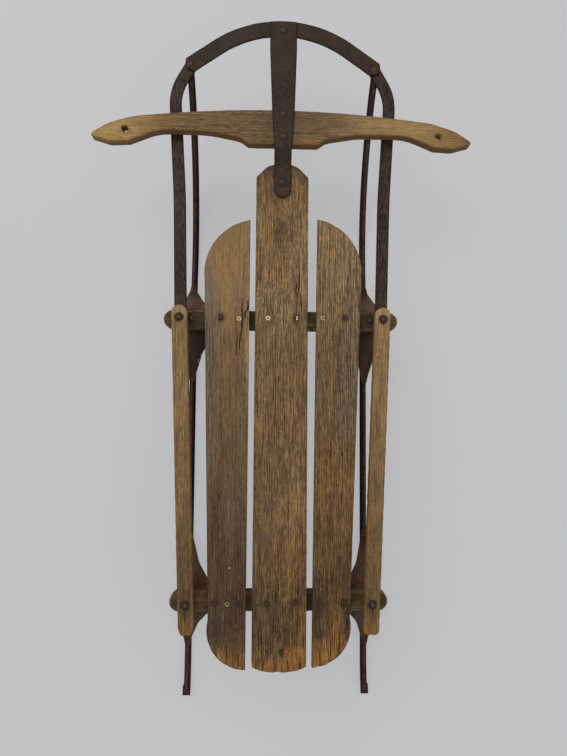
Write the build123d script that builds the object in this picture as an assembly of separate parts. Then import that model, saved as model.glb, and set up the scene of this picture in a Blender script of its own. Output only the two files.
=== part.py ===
from build123d import *
import os
from math import acos, atan2, cos, degrees, hypot, radians, sin, sqrt, tan

# A steerable sled: three slats on two benches, four pressed knees, two T-bar runners,
# and a steering linkage of crossbar, strap, bow and side bars.
# Millimetres. +Y is forward, +X is right, +Z is up. The origin is on the floor,
# on the midline, halfway between the front of the bow and the tails.

# Overall
overall_length = 1076.0
front_reach = overall_length / 2
seat_gap = 0.3
pin_clearance = 0.05
bolt_radius = 2.4

# Stations along the sled: how far back from the bow's front, or ahead of the tails
corner_back = 73.7
strap_rivet_back = 17.5
crossbar_back = 179.0
pivot_back = 258.3
front_bench_back = 467.0
rear_bench_ahead = 194.0
corner_y = front_reach - corner_back
strap_rivet_y = front_reach - strap_rivet_back
crossbar_y = front_reach - crossbar_back
pivot_y = front_reach - pivot_back
front_bench_y = front_reach - front_bench_back
rear_bench_y = rear_bench_ahead - front_reach

# Benches: their section, half their length and their rail bolts
bench_top = 140.0
bench_thick = 19.0
bench_width = 28.0
front_bench_half = 176.5
rear_bench_half = 160.0
front_bolt_x = 150.8
rear_bolt_x = 134.8

# Slats
slat_thick = 9.5
centre_slat_width = 79.0
slat_ease = 1.2
centre_nose_ahead = 28.3
centre_tail_behind = 98.0
centre_slat_front = pivot_y + centre_nose_ahead
centre_slat_rear = rear_bench_y - centre_tail_behind
centre_nose_width = 40.0
centre_nose_length = 19.0
centre_nose_radius = 22.0
centre_shoulder_radius = 6.0
centre_tail_crown = 7.0
side_slat_ahead = 152.5
side_slat_behind = 92.0
side_slat_front = front_bench_y + side_slat_ahead
side_slat_rear = rear_bench_y - side_slat_behind
side_slat_inner_front = 50.5
side_slat_inner_rear = 47.5
side_slat_outer_front = 117.5
side_slat_outer_rear = 102.5
side_slat_shoulder = 90.0
side_slat_heel = 70.0
side_slat_shoulder_radius = 82.0
side_slat_heel_radius = 57.0

# Rails
rail_width = 22.5
rail_thick = 16.0
rail_ahead = 19.0
rail_behind = 43.0
rail_tail_radius = 7.0
rail_ease = 2.0

# Runners: a T-bar, flange down
runner_x = 148.0
flange_width = 11.0
flange_thick = 3.2
web_thick = 3.8
runner_height = 15.0
tail_curl_radius = 250.0
tail_curl_angle = 14.0
toe_level = 22.0
toe_overrun = 4.0
tongue_meet = 7.5
tongue_thick = 3.0
tongue_width = 18.0
tongue_back = 38.0

# Knees: pressed sheet, wide under the bench and narrow at the feet
knee_thick = 3.0
knee_shoulder = 16.0
knee_pad = 12.0
knee_bend = 9.0
front_knee_forward = 68.0
front_knee_back = 76.0
rear_knee_forward = 70.0
rear_knee_back = 98.0
flex_gap = 5.0

# A knee's outline seen from ahead, from its inner edge over the top to its outer edge,
# as (x outward from the runner's middle, drop below the bench, corner radius)
knee_corners = [
    (-24.0, 46.0, 60.0),
    (-44.0, 9.0, 8.0),
    (-44.0, -1.0, 0),
    (12.0, -1.0, 0),
    (12.0, 9.0, 8.0),
    (7.0, 46.0, 60.0),
]

# Steering linkage
bar_thick = 3.0
bar_width = 18.5
bar_mid_x = 155.5
bar_mid_ahead = 185.0
bar_elbow_x = 165.8
bar_elbow_back = 41.8
bar_mid_radius = 900.0
bar_elbow_radius = 80.0
corner_x = 142.4
bow_width = 24.5
bow_thick = 3.0
bow_end_slope = 35.36
bow_end = 6.0
bow_end_cut = 6.0
rivet_radius = 3.0
strap_rivet_head = 6.0
corner_rivet_head = 7.0
rivet_head_height = 2.6
corner_slack = 0.6
strap_slack = 1.3
strap_thick = 3.0
strap_front_half = 20.7
strap_bar_half = 17.1
strap_pivot_half = 13.0
strap_trim = 2.0
strap_full_back = 50.0
strap_bow_bend_back = 32.0
strap_rise_ahead = 26.5
strap_joggle_behind = 33.0
strap_joggle_length = 23.0
strap_bend = 8.0
strap_tip = 23.5
bolt_head_radius = 4.8
bolt_head_height = 2.6
pivot_head_radius = 6.2
nut_radius = 5.0
nut_height = 4.0

# Crossbar
crossbar_thick = 16.0
crossbar_lift = 5.0
crossbar_ease = 2.0
rope_hole_x = 235.4
rope_hole_behind = 8.0
rope_hole_radius = 4.2

# The crossbar's right half from the front middle round its hand to the rear middle,
# as (x, y ahead of the crossbar's station, corner radius)
crossbar_corners = [
    (0.0, 38.0, 1700.0),
    (226.0, 12.0, 90.0),
    (262.0, 0.3, 60.0),
    (283.0, -13.5, 10.0),
    (286.6, -19.0, 3.2),
    (258.0, -27.5, 25.0),
    (229.5, -26.0, 4.0),
    (187.0, -8.2, 80.0),
    (112.0, -8.5, 150.0),
    (64.5, -17.5, 20.0),
    (52.0, -26.5, 4.0),
]

# Places worked out from the sizes above
rail_front = front_bench_y + rail_ahead
rail_rear = rear_bench_y - rail_behind
bar_mid_y = front_bench_y + bar_mid_ahead
bar_elbow_y = corner_y - bar_elbow_back
strap_full_y = front_reach - strap_full_back
strap_bow_bend = front_reach - strap_bow_bend_back
strap_rise_y = crossbar_y + strap_rise_ahead
strap_joggle_front = crossbar_y - strap_joggle_behind
strap_joggle_back = strap_joggle_front - strap_joggle_length
rope_hole_y = crossbar_y - rope_hole_behind

# The bow touches its front at the crown; its straight ends meet the corners at the slope
bow_crown = front_reach - bow_width / 2
bow_apex = corner_y + corner_x * tan(radians(bow_end_slope))
bow_radius = (bow_apex - bow_crown) / (1 / cos(radians(bow_end_slope)) - 1)

# Levels worked out from the sizes above
slat_top = bench_top + slat_thick
bar_low = bench_top + seat_gap
bar_top = bar_low + bar_thick
bow_low = bar_top + seat_gap
bow_top = bow_low + bow_thick
strap_front_low = bow_top + seat_gap
strap_pivot_low = slat_top + seat_gap
crossbar_low = bar_top + crossbar_lift
crossbar_top = crossbar_low + crossbar_thick
rail_low = bar_top + seat_gap
tongue_top = bar_low - seat_gap
knee_top = bench_top - bench_thick
flex_y = front_bench_y + front_knee_forward + knee_pad + flex_gap
wide = 1.2 * overall_length

os.makedirs("parts", exist_ok=True)


def write(name, shape):
    """Write one node's solids to its own file."""
    export_step(shape, f"parts/{name}.step")


def mirrored(shape):
    """The left-hand copy of a right-hand piece."""
    return mirror(shape, about=Plane.YZ)


def upright_prism(outline, low, high):
    """A flat outline in X and Y, raised between two levels."""
    return extrude(Plane.XY.offset(low) * make_face(outline), high - low)


def rounded(corners):
    """A flat face through (x, y, radius) corners, each rounded to its radius, or sharp at 0."""
    face = make_face(Polyline(*[(x, y) for x, y, _ in corners], close=True))
    for x, y, radius in corners:
        if radius:
            face = fillet(face.vertices().sort_by_distance((x, y, 0))[0], radius)
    return face


def eased(board, width):
    """A board with the rim of its top taken off."""
    return chamfer(board.faces().sort_by(Axis.Z)[-1].outer_wire().edges(), width)


def post(x, y, radius, low, high):
    """A round pin or hole that stands upright between two levels."""
    return Pos(x, y, low) * Cylinder(radius, high - low, align=(Align.CENTER, Align.CENTER, Align.MIN))


def bolt(x, y, shank, under_head, nut_seat, head, head_height):
    """A bolt or rivet: shank, low round head above and a nut or clenched end below."""
    pin = post(x, y, shank, nut_seat - nut_height, under_head + head_height / 2)
    cap = post(x, y, head, under_head, under_head + head_height)
    nut = Pos(x, y, nut_seat - nut_height) * extrude(RegularPolygon(nut_radius, 6), nut_height)
    return pin + cap + nut


# Slats
def centre_slat():
    """The long middle slat, with a blunt rounded nose and a gently curved tail."""
    half = centre_slat_width / 2
    nose = centre_nose_width / 2
    shoulder = centre_slat_front - centre_nose_length
    corner = centre_slat_rear + centre_tail_crown
    front = rounded(
        [
            (nose, centre_slat_front, centre_nose_radius),
            (half, shoulder, centre_shoulder_radius),
            (half, corner, 0),
            (-half, corner, 0),
            (-half, shoulder, centre_shoulder_radius),
            (-nose, centre_slat_front, centre_nose_radius),
        ]
    )
    tail_arc = ThreePointArc((half, corner), (0, centre_slat_rear), (-half, corner))
    tail = make_face(tail_arc + Line((-half, corner), (half, corner)))
    board = eased(extrude(Plane.XY.offset(bench_top) * (front + tail), slat_thick), slat_ease)
    return board - post(0, pivot_y, bolt_radius + pin_clearance, bench_top - 1, slat_top + 1)


def side_slat():
    """The right-hand slat: tapered to the rear, with its outer corners swept round."""
    inner_front = (side_slat_inner_front, side_slat_front)
    outer_front = (side_slat_outer_front, side_slat_front - side_slat_shoulder)
    outer_rear = (side_slat_outer_rear, side_slat_rear + side_slat_heel)
    inner_rear = (side_slat_inner_rear, side_slat_rear)
    outline = (
        RadiusArc(inner_front, outer_front, side_slat_shoulder_radius)
        + Line(outer_front, outer_rear)
        + RadiusArc(outer_rear, inner_rear, side_slat_heel_radius)
        + Line(inner_rear, inner_front)
    )
    return eased(upright_prism(outline, bench_top, slat_top), slat_ease)


# Benches and rails
def bench(y, half_length, bolt_x):
    """A wooden crosspiece with round ends, drilled for the rail bolts."""
    blank = Pos(0, y, knee_top) * extrude(SlotOverall(2 * half_length, bench_width), bench_thick)
    for side in (-1, 1):
        blank -= post(side * bolt_x, y, bolt_radius + pin_clearance, knee_top - 1, bench_top + 1)
    return blank


def rail_rise():
    """The rail's slope in degrees, from the rear bench up over the side bar."""
    return degrees(atan2(rail_low - bench_top, front_bench_y - rear_bench_y - bench_width))


def rail_top_at(y):
    """The height of the rail's top at a station."""
    return bench_top + rail_thick + (y - rear_bench_y + bench_width / 2) * tan(radians(rail_rise()))


def rail():
    """The right-hand rail: over the side bar in front, down on the bench behind."""
    half = rail_width / 2
    turn = degrees(atan2(front_bolt_x - rear_bolt_x, front_bench_y - rear_bench_y))
    front = rail_front - rear_bench_y
    back = rail_rear - rear_bench_y
    tail = rounded(
        [
            (half, front - half, 0),
            (half, back, rail_tail_radius),
            (-half, back, rail_tail_radius),
            (-half, front - half, 0),
        ]
    )
    heel = bench_width / 2
    blank = eased(extrude(tail + Pos(0, front - half) * Circle(half), rail_thick), rail_ease)
    blank = Pos(0, -heel, 0) * Rot(rail_rise(), 0, 0) * Pos(0, heel, 0) * blank
    blank = Pos(rear_bolt_x, rear_bench_y, bench_top) * Rot(0, 0, -turn) * blank
    for x, y in ((front_bolt_x, front_bench_y), (rear_bolt_x, rear_bench_y)):
        blank -= post(x, y, bolt_radius + pin_clearance, knee_top, bench_top + 2 * rail_thick)
    return blank


# Knees
def knee(y, forward, back, bolt_x):
    """A pressed knee on the right: an arch of sheet, trimmed to its flared outline."""
    foot = runner_height + knee_thick / 2
    top = knee_top - knee_thick / 2
    arch = FilletPolyline(
        (0, y - back - knee_pad, foot),
        (0, y - back, foot),
        (0, y - knee_shoulder, top),
        (0, y + knee_shoulder, top),
        (0, y + forward, foot),
        (0, y + forward + knee_pad, foot),
        radius=knee_bend,
    )
    sheet = sweep(Plane(origin=arch @ 0, x_dir=(1, 0, 0), z_dir=arch % 0) * Rectangle(wide, knee_thick), arch)
    foot_half = flange_width / 2
    low = runner_height - 1
    edge = [(runner_x + out, knee_top - drop, radius) for out, drop, radius in knee_corners]
    flare = rounded([(runner_x - foot_half, low, 0), *edge, (runner_x + foot_half, low, 0)])
    trim = extrude(Plane.XZ * flare, wide, both=True)
    hole = post(bolt_x, y, bolt_radius + pin_clearance, knee_top - knee_thick - 1, knee_top + 1)
    return sheet & trim - hole


# Runners
def tee():
    """The runner's section: flange along X, web up, its underside on the path."""
    half = flange_width / 2
    web = web_thick / 2
    return make_face(
        Polyline(
            (-half, 0),
            (half, 0),
            (half, flange_thick),
            (web, flange_thick),
            (web, runner_height),
            (-web, runner_height),
            (-web, flange_thick),
            (-half, flange_thick),
            close=True,
        )
    )


def runner():
    """The right-hand runner from the flex line back to its slightly raised tail."""
    curl_start = -front_reach + tail_curl_radius * sin(radians(tail_curl_angle))
    straight = Line((runner_x, flex_y, 0), (runner_x, curl_start, 0))
    curl_end = (
        runner_x,
        -front_reach,
        tail_curl_radius * (1 - cos(radians(tail_curl_angle))),
    )
    curl_mid = (
        runner_x,
        curl_start - tail_curl_radius * sin(radians(tail_curl_angle / 2)),
        tail_curl_radius * (1 - cos(radians(tail_curl_angle / 2))),
    )
    curl = ThreePointArc((runner_x, curl_start, 0), curl_mid, curl_end)
    start = Plane(origin=(runner_x, flex_y, 0), x_dir=(1, 0, 0), z_dir=(0, -1, 0))
    bar = sweep(start * tee(), straight + curl)
    socket = post(runner_x, flex_y, flange_width / 2 + seat_gap, -1, runner_height + 1)
    return bar - socket


def runner_front():
    """The right-hand runner's front: a level start, a long toe curve and a flat tongue."""
    lean = degrees(atan2(runner_x - corner_x, corner_y - flex_y))
    start = Plane(origin=(0, 0, 0), x_dir=(-1, 0, 0), z_dir=(0, 1, 0))
    run = hypot(corner_x - runner_x, corner_y - flex_y)
    ahead = run - tongue_meet - toe_level
    climb = tongue_top - tongue_thick / 2
    toe_radius = (ahead**2 + climb**2) / (2 * climb)
    toe_sweep = degrees(acos(1 - climb / toe_radius)) + toe_overrun
    toe = ThreePointArc(
        *[
            (0, toe_level + toe_radius * sin(radians(turn)), toe_radius * (1 - cos(radians(turn))))
            for turn in (0, toe_sweep / 2, toe_sweep)
        ]
    )
    path = Line((0, 0, 0), (0, toe_level, 0)) + toe
    bar = sweep(start * tee(), path)
    below = Pos(0, 0, tongue_top - tongue_thick / 2) * Box(
        wide, wide * 4, wide, align=(Align.CENTER, Align.CENTER, Align.MAX)
    )
    bar = bar & below
    bar += Cylinder(flange_width / 2, flange_thick, align=(Align.CENTER, Align.CENTER, Align.MIN))
    tongue = Pos(0, run, tongue_top - tongue_thick) * (
        Cylinder(tongue_width / 2, tongue_thick, align=(Align.CENTER, Align.CENTER, Align.MIN))
        + Pos(0, -tongue_back / 2, 0)
        * Box(flange_width, tongue_back, tongue_thick, align=(Align.CENTER, Align.CENTER, Align.MIN))
    )
    hole = post(0, run, rivet_radius + corner_slack, tongue_top - tongue_thick - 1, tongue_top + 1)
    return Pos(runner_x, flex_y, 0) * Rot(0, 0, lean) * (bar + tongue - hole)


# Steering linkage
def side_bar(corner_clearance):
    """The right-hand side bar: flat steel from the bench bolt, bent edgewise into the corner."""
    path = FilletPolyline(
        (front_bolt_x, front_bench_y),
        (bar_mid_x, bar_mid_y),
        (bar_elbow_x, bar_elbow_y),
        (corner_x, corner_y),
        radius=[bar_mid_radius, bar_elbow_radius],
    )
    section = Plane(origin=path @ 0, x_dir=(0, 0, 1), z_dir=path % 0) * Rectangle(bar_thick, bar_width)
    bar = Pos(0, 0, bar_low + bar_thick / 2) * sweep(section, path)
    for x, y in ((front_bolt_x, front_bench_y), (corner_x, corner_y)):
        bar += post(x, y, bar_width / 2, bar_low, bar_top)
    bar -= post(front_bolt_x, front_bench_y, bolt_radius + pin_clearance, bar_low - 1, bar_top + 1)
    bar -= post(corner_x, corner_y, rivet_radius + corner_clearance, bar_low - 1, bar_top + 1)
    return bar


def bow():
    """The front bow: flat steel bent edgewise, straight at its ends and round in the middle."""
    end_x = corner_x + bow_end * cos(radians(bow_end_slope))
    end_y = corner_y - bow_end * sin(radians(bow_end_slope))
    path = FilletPolyline((-end_x, end_y), (0, bow_apex), (end_x, end_y), radius=bow_radius)
    section = Plane(origin=path @ 0, x_dir=(0, 0, 1), z_dir=path % 0) * Rectangle(bow_thick, bow_width)
    bar = Pos(0, 0, bow_low + bow_thick / 2) * sweep(section, path)
    corners = bar.edges().filter_by(Axis.Z).sort_by(lambda edge: abs(edge.center().X))[-4:]
    bar = chamfer(corners, bow_end_cut)
    for x, y in ((-corner_x, corner_y), (corner_x, corner_y), (0, strap_rivet_y)):
        bar -= post(x, y, rivet_radius + pin_clearance, bow_low - 1, bow_top + 1)
    return bar


def bow_rivets():
    """The two corner rivets and the strap's rivet, all held by the bow."""
    rivets = []
    for x, y, under_head, low, head_radius in (
        (-corner_x, corner_y, bow_top, tongue_top - tongue_thick - seat_gap, corner_rivet_head),
        (corner_x, corner_y, bow_top, tongue_top - tongue_thick - seat_gap, corner_rivet_head),
        (0, strap_rivet_y, strap_front_low + strap_thick + seat_gap, bow_low, strap_rivet_head),
    ):
        shank = post(x, y, rivet_radius, low - 1, under_head + 1)
        head = post(x, y, head_radius, under_head, under_head + rivet_head_height)
        tail = post(x, y, strap_rivet_head, low - rivet_head_height, low)
        rivets.append(shank + head + tail)
    return rivets


def strap():
    """The centre strap: pivots on the slat, rises over the crossbar and falls to the bow."""
    half = strap_thick / 2
    path = FilletPolyline(
        (0, front_reach, strap_front_low + half),
        (0, strap_bow_bend, strap_front_low + half),
        (0, strap_rise_y, crossbar_top + seat_gap + half),
        (0, strap_joggle_front, crossbar_top + seat_gap + half),
        (0, strap_joggle_back, strap_pivot_low + half),
        (0, pivot_y - strap_tip, strap_pivot_low + half),
        radius=strap_bend,
    )
    band = sweep(
        Plane(origin=path @ 0, x_dir=(1, 0, 0), z_dir=path % 0) * Rectangle(wide, strap_thick), path
    )
    tip = pivot_y - strap_tip
    bow_centre = bow_crown - bow_radius
    edge_radius = bow_radius + bow_width / 2 - strap_trim
    front_corner = bow_centre + sqrt(edge_radius**2 - strap_front_half**2)
    front_edge = bow_centre + edge_radius
    heel = tip + strap_pivot_half
    outline = (
        Polyline(
            (strap_pivot_half, heel),
            (strap_pivot_half, strap_joggle_front),
            (strap_bar_half, strap_rise_y),
            (strap_front_half, strap_full_y),
            (strap_front_half, front_corner),
        )
        + ThreePointArc((strap_front_half, front_corner), (0, front_edge), (-strap_front_half, front_corner))
        + Polyline(
            (-strap_front_half, front_corner),
            (-strap_front_half, strap_full_y),
            (-strap_bar_half, strap_rise_y),
            (-strap_pivot_half, strap_joggle_front),
            (-strap_pivot_half, heel),
        )
        + ThreePointArc((-strap_pivot_half, heel), (0, tip), (strap_pivot_half, heel))
    )
    plate = band & upright_prism(outline, 0, wide)
    plate -= post(0, pivot_y, bolt_radius + pin_clearance, 0, wide)
    plate -= post(0, strap_rivet_y, rivet_radius + strap_slack, 0, wide)
    return plate


def crossbar():
    """The wooden crossbar: a broad middle, scooped necks and pointed hands with rope holes."""
    right = [(x, crossbar_y + ahead, radius) for x, ahead, radius in crossbar_corners]
    left = [(-x, y, radius) for x, y, radius in reversed(right) if x > 0]
    bar = eased(extrude(Plane.XY.offset(crossbar_low) * rounded(right + left), crossbar_thick), crossbar_ease)
    for side in (-1, 1):
        bar -= post(side * rope_hole_x, rope_hole_y, rope_hole_radius, crossbar_low - 1, crossbar_top + 1)
    return bar


# Every node, each written to its own file
write("centre_slat", centre_slat())
write("slat_right", side_slat())
write("slat_left", mirrored(side_slat()))
write("rail_right", rail())
write("rail_left", mirrored(rail()))
write("runner_right", runner())
write("runner_left", mirrored(runner()))
write("runner_front_right", runner_front())
write("runner_front_left", mirrored(runner_front()))

# bench name, y, half length, rail bolt x, knee reach forward, knee reach back
bench_table = [
    ("front", front_bench_y, front_bench_half, front_bolt_x, front_knee_forward, front_knee_back),
    ("rear", rear_bench_y, rear_bench_half, rear_bolt_x, rear_knee_forward, rear_knee_back),
]
for name, y, half_length, bolt_x, forward, back in bench_table:
    write(f"bench_{name}", bench(y, half_length, bolt_x))
    write(f"knee_{name}_right", knee(y, forward, back, bolt_x))
    write(f"knee_{name}_left", mirrored(knee(y, forward, back, bolt_x)))

rail_bolts = []
for x, y in ((front_bolt_x, front_bench_y), (rear_bolt_x, rear_bench_y)):
    under_head = rail_top_at(y + bolt_head_radius) + seat_gap
    nut_seat = knee_top - knee_thick
    pin = bolt(x, y, bolt_radius, under_head, nut_seat, bolt_head_radius, bolt_head_height)
    rail_bolts += [pin, mirrored(pin)]
write("rail_bolts", Compound(rail_bolts))
write(
    "pivot_bolt",
    bolt(
        0, pivot_y, bolt_radius, strap_pivot_low + strap_thick + seat_gap, bench_top,
        pivot_head_radius, bolt_head_height,
    ),
)
write("side_bar_right", side_bar(corner_slack))
write("side_bar_left", mirrored(side_bar(pin_clearance)))
write("bow", bow())
write("bow_rivets", Compound(bow_rivets()))
write("strap", strap())
write("crossbar", crossbar())
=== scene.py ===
import math

import bpy
import numpy as np
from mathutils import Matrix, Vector


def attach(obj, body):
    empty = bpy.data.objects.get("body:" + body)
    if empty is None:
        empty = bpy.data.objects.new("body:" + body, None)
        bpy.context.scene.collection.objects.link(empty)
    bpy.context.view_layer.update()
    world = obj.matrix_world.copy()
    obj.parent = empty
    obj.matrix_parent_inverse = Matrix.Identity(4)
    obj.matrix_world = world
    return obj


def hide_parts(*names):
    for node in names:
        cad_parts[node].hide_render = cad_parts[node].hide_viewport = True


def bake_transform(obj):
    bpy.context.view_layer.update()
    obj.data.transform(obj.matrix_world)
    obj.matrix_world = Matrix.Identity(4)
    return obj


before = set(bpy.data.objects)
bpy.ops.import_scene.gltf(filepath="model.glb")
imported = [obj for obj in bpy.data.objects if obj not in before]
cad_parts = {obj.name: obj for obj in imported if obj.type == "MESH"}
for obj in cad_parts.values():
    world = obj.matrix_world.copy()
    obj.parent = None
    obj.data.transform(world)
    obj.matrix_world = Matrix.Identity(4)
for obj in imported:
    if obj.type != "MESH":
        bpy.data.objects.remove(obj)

bl_info = {
    "name": "Steerable sled",
    "version": (1, 0, 0),
    "blender": (4, 5, 0),
    "location": "3D View > Sidebar > Sled",
    "description": "An old wooden sled with a slatted deck, steel runners and a steering crossbar",
    "category": "Add Mesh",
}

# Millimetres, as in the part's source: +Y forward, +X right, +Z up, floor at zero
MM = 0.001
FRONT_BENCH_Y, REAR_BENCH_Y = 71.0, -344.0
BENCH_LOW, BENCH_TOP = 121.0, 140.0
SLAT_TOP = 149.5
BAR_LOW, BAR_THICK = 140.3, 3.0
BOW_LOW, STRAP_LOW = 143.6, 146.9
CROSSBAR_LOW, CROSSBAR_THICK, CROSSBAR_Y = 148.3, 16.0, 359.0
CORNER_X, CORNER_Y = 142.4, 464.3
PIVOT_Y, STRAP_RIVET_Y = 279.7, 520.5
FRONT_REACH = 538.0
RUNNER_X, FLEX_Y = 148.0, 156.0
BOW_WIDTH, BOW_RADIUS = 24.5, 175.0
RAIL_THICK, RAIL_LIFT, RAIL_RUN = 16.0, 3.6, FRONT_BENCH_Y - REAR_BENCH_Y - 28.0
FRONT_BOLT_X, REAR_BOLT_X = 150.8, 134.8
KNEE_BOLT_X, KNEE_BOLT_Y = 135.4, 72.6
CROSSBAR_BOLTS_Y, ROPE_HOLE_X = (378.0, 343.5), 235.4
# Faces that meet at less than this angle are shaded as one
FOLD = math.radians(35.0)


# Plane curves


def resample(points, count):
    """Points at equal steps of length along a run of points."""
    steps = np.linalg.norm(np.diff(points, axis=0), axis=1)
    length = np.concatenate([[0.0], np.cumsum(steps)])
    wanted = np.linspace(0.0, length[-1], count)
    return np.stack([np.interp(wanted, length, column) for column in points.T], axis=1)


def arc(start, end, radius, count=40):
    """A circular arc that bulges to the left of the way from start to end: the centre lies
    on the chord's right-hand normal, and the angle runs clockwise."""
    start, end = np.array(start, float), np.array(end, float)
    chord = end - start
    span = np.linalg.norm(chord)
    right = np.array([chord[1], -chord[0]]) / span
    centre = (start + end) / 2 + right * math.sqrt(max(radius**2 - span**2 / 4, 0.0))
    first = math.atan2(*(start - centre)[::-1])
    turn = 2 * math.asin(min(span / 2 / radius, 1.0))
    angles = first - np.linspace(0.0, turn, count)
    return centre + radius * np.stack([np.cos(angles), np.sin(angles)], axis=1)


def rounded(corners, closed=True, count=12):
    """A run of points through (x, y, radius) corners, each corner cut by the arc of its radius
    that touches both of its edges."""
    corners = np.array(corners, float)
    places, radii = corners[:, :2], corners[:, 2]
    before, after = np.roll(places, 1, 0) - places, np.roll(places, -1, 0) - places
    before /= np.linalg.norm(before, axis=1, keepdims=True)
    after /= np.linalg.norm(after, axis=1, keepdims=True)
    runs = []
    for number, place in enumerate(places):
        ends = number in (0, len(places) - 1)
        half = math.acos(np.clip(before[number] @ after[number], -1, 1)) / 2
        if radii[number] == 0 or half > 1.5705 or (ends and not closed):
            runs.append(place[None])
            continue
        reach = radii[number] / math.tan(half)
        first, last = place + before[number] * reach, place + after[number] * reach
        middle = before[number] + after[number]
        centre = place + middle / np.linalg.norm(middle) * radii[number] / math.sin(half)
        a, b = first - centre, last - centre
        share = np.linspace(0.0, 1.0, count)[:, None]
        turn = math.pi - 2 * half
        runs.append(centre + (np.sin((1 - share) * turn) * a + np.sin(share * turn) * b) / math.sin(turn))
    return np.concatenate(runs)


def normals_left(path):
    """The unit normal to the left of a path's heading at each of its points."""
    heading = np.gradient(path, axis=0)
    heading /= np.linalg.norm(heading, axis=1, keepdims=True)
    return np.stack([-heading[:, 1], heading[:, 0]], axis=1)


def ribbon(path, half, cut=None):
    """The four sides of a flat bar: its path moved half its width to the left, an end, the same
    to the right and back, and the other end. The ends are half circles, or squares with their
    corners cut off by the width cut."""
    across = normals_left(path) * half
    left, right = path + across, path - across
    caps = []
    for centre, reach in ((path[-1], across[-1]), (path[0], -across[0])):
        ahead = np.array([reach[1], -reach[0]])
        turn = np.linspace(0.0, math.pi, 41)[:, None]
        caps.append(centre + np.cos(turn) * reach + np.sin(turn) * ahead)
        if cut is not None:
            side, tip = reach * (1 - cut / half), ahead * cut / half
            steps = (reach, side + tip, tip - side, -reach)
            caps[-1] = resample(np.array([centre + step for step in steps]), 41)
    front, rear = caps
    if cut is not None:
        return [left, front, right[::-1], rear]
    return [
        np.concatenate([rear[30:], left[1:-1], front[:11]]),
        front[10:31],
        np.concatenate([front[30:], right[::-1][1:-1], rear[:11]]),
        rear[10:31],
    ]


def four_sides(outline, corners):
    """A closed clockwise outline cut into four sides at the points nearest to four corners."""
    cuts = [int(np.argmin(np.linalg.norm(outline - np.array(c), axis=1))) for c in corners]
    outline = np.concatenate([outline, outline])
    total = len(outline) // 2
    sides = []
    for start, stop in zip(cuts, cuts[1:] + cuts[:1]):
        stop = stop if stop > start else stop + total
        sides.append(outline[start : stop + 1])
    return sides


def ripple(x, y, size, seed):
    """Smooth noise between about -1 and 1: twelve plane waves of one rough size, each with its
    own heading, length and phase, added up."""
    rng = np.random.default_rng(seed)
    heading, phase = rng.uniform(0, 2 * math.pi, 12), rng.uniform(0, 2 * math.pi, 12)
    rate = 2 * math.pi / size * rng.uniform(0.6, 1.7, 12)
    along = np.multiply.outer(x, np.cos(heading) * rate) + np.multiply.outer(y, np.sin(heading) * rate)
    return np.sin(along + phase).sum(-1) / 4.0


def blots(x, y, rows):
    """Soft spots: each row (x, y, half width, half length, strength) adds a bell-shaped hill."""
    total = np.zeros(np.shape(x))
    for centre_x, centre_y, wide, long, strength in rows:
        total += strength * np.exp(-(((x - centre_x) / wide) ** 2) - ((y - centre_y) / long) ** 2)
    return total


def ringed(x, y, rows):
    """Soft rings: each row (x, y, radius, width, strength) adds a bell across a circle's line."""
    total = np.zeros(np.shape(x))
    for centre_x, centre_y, radius, wide, strength in rows:
        off = np.hypot(x - centre_x, y - centre_y) - radius
        total += strength * np.exp(-((off / wide) ** 2))
    return total


# Surfaces: a dict of points, faces and marks


def grid_faces(rows, columns, wrap=False):
    """The four-sided faces of a grid of points that is stored row by row."""
    row, column = np.meshgrid(np.arange(rows - 1), np.arange(columns if wrap else columns - 1), indexing="ij")
    here, beside = row * columns + column, row * columns + (column + 1) % columns
    return np.stack([here, beside, beside + columns, here + columns], axis=-1).reshape(-1, 4)


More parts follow.
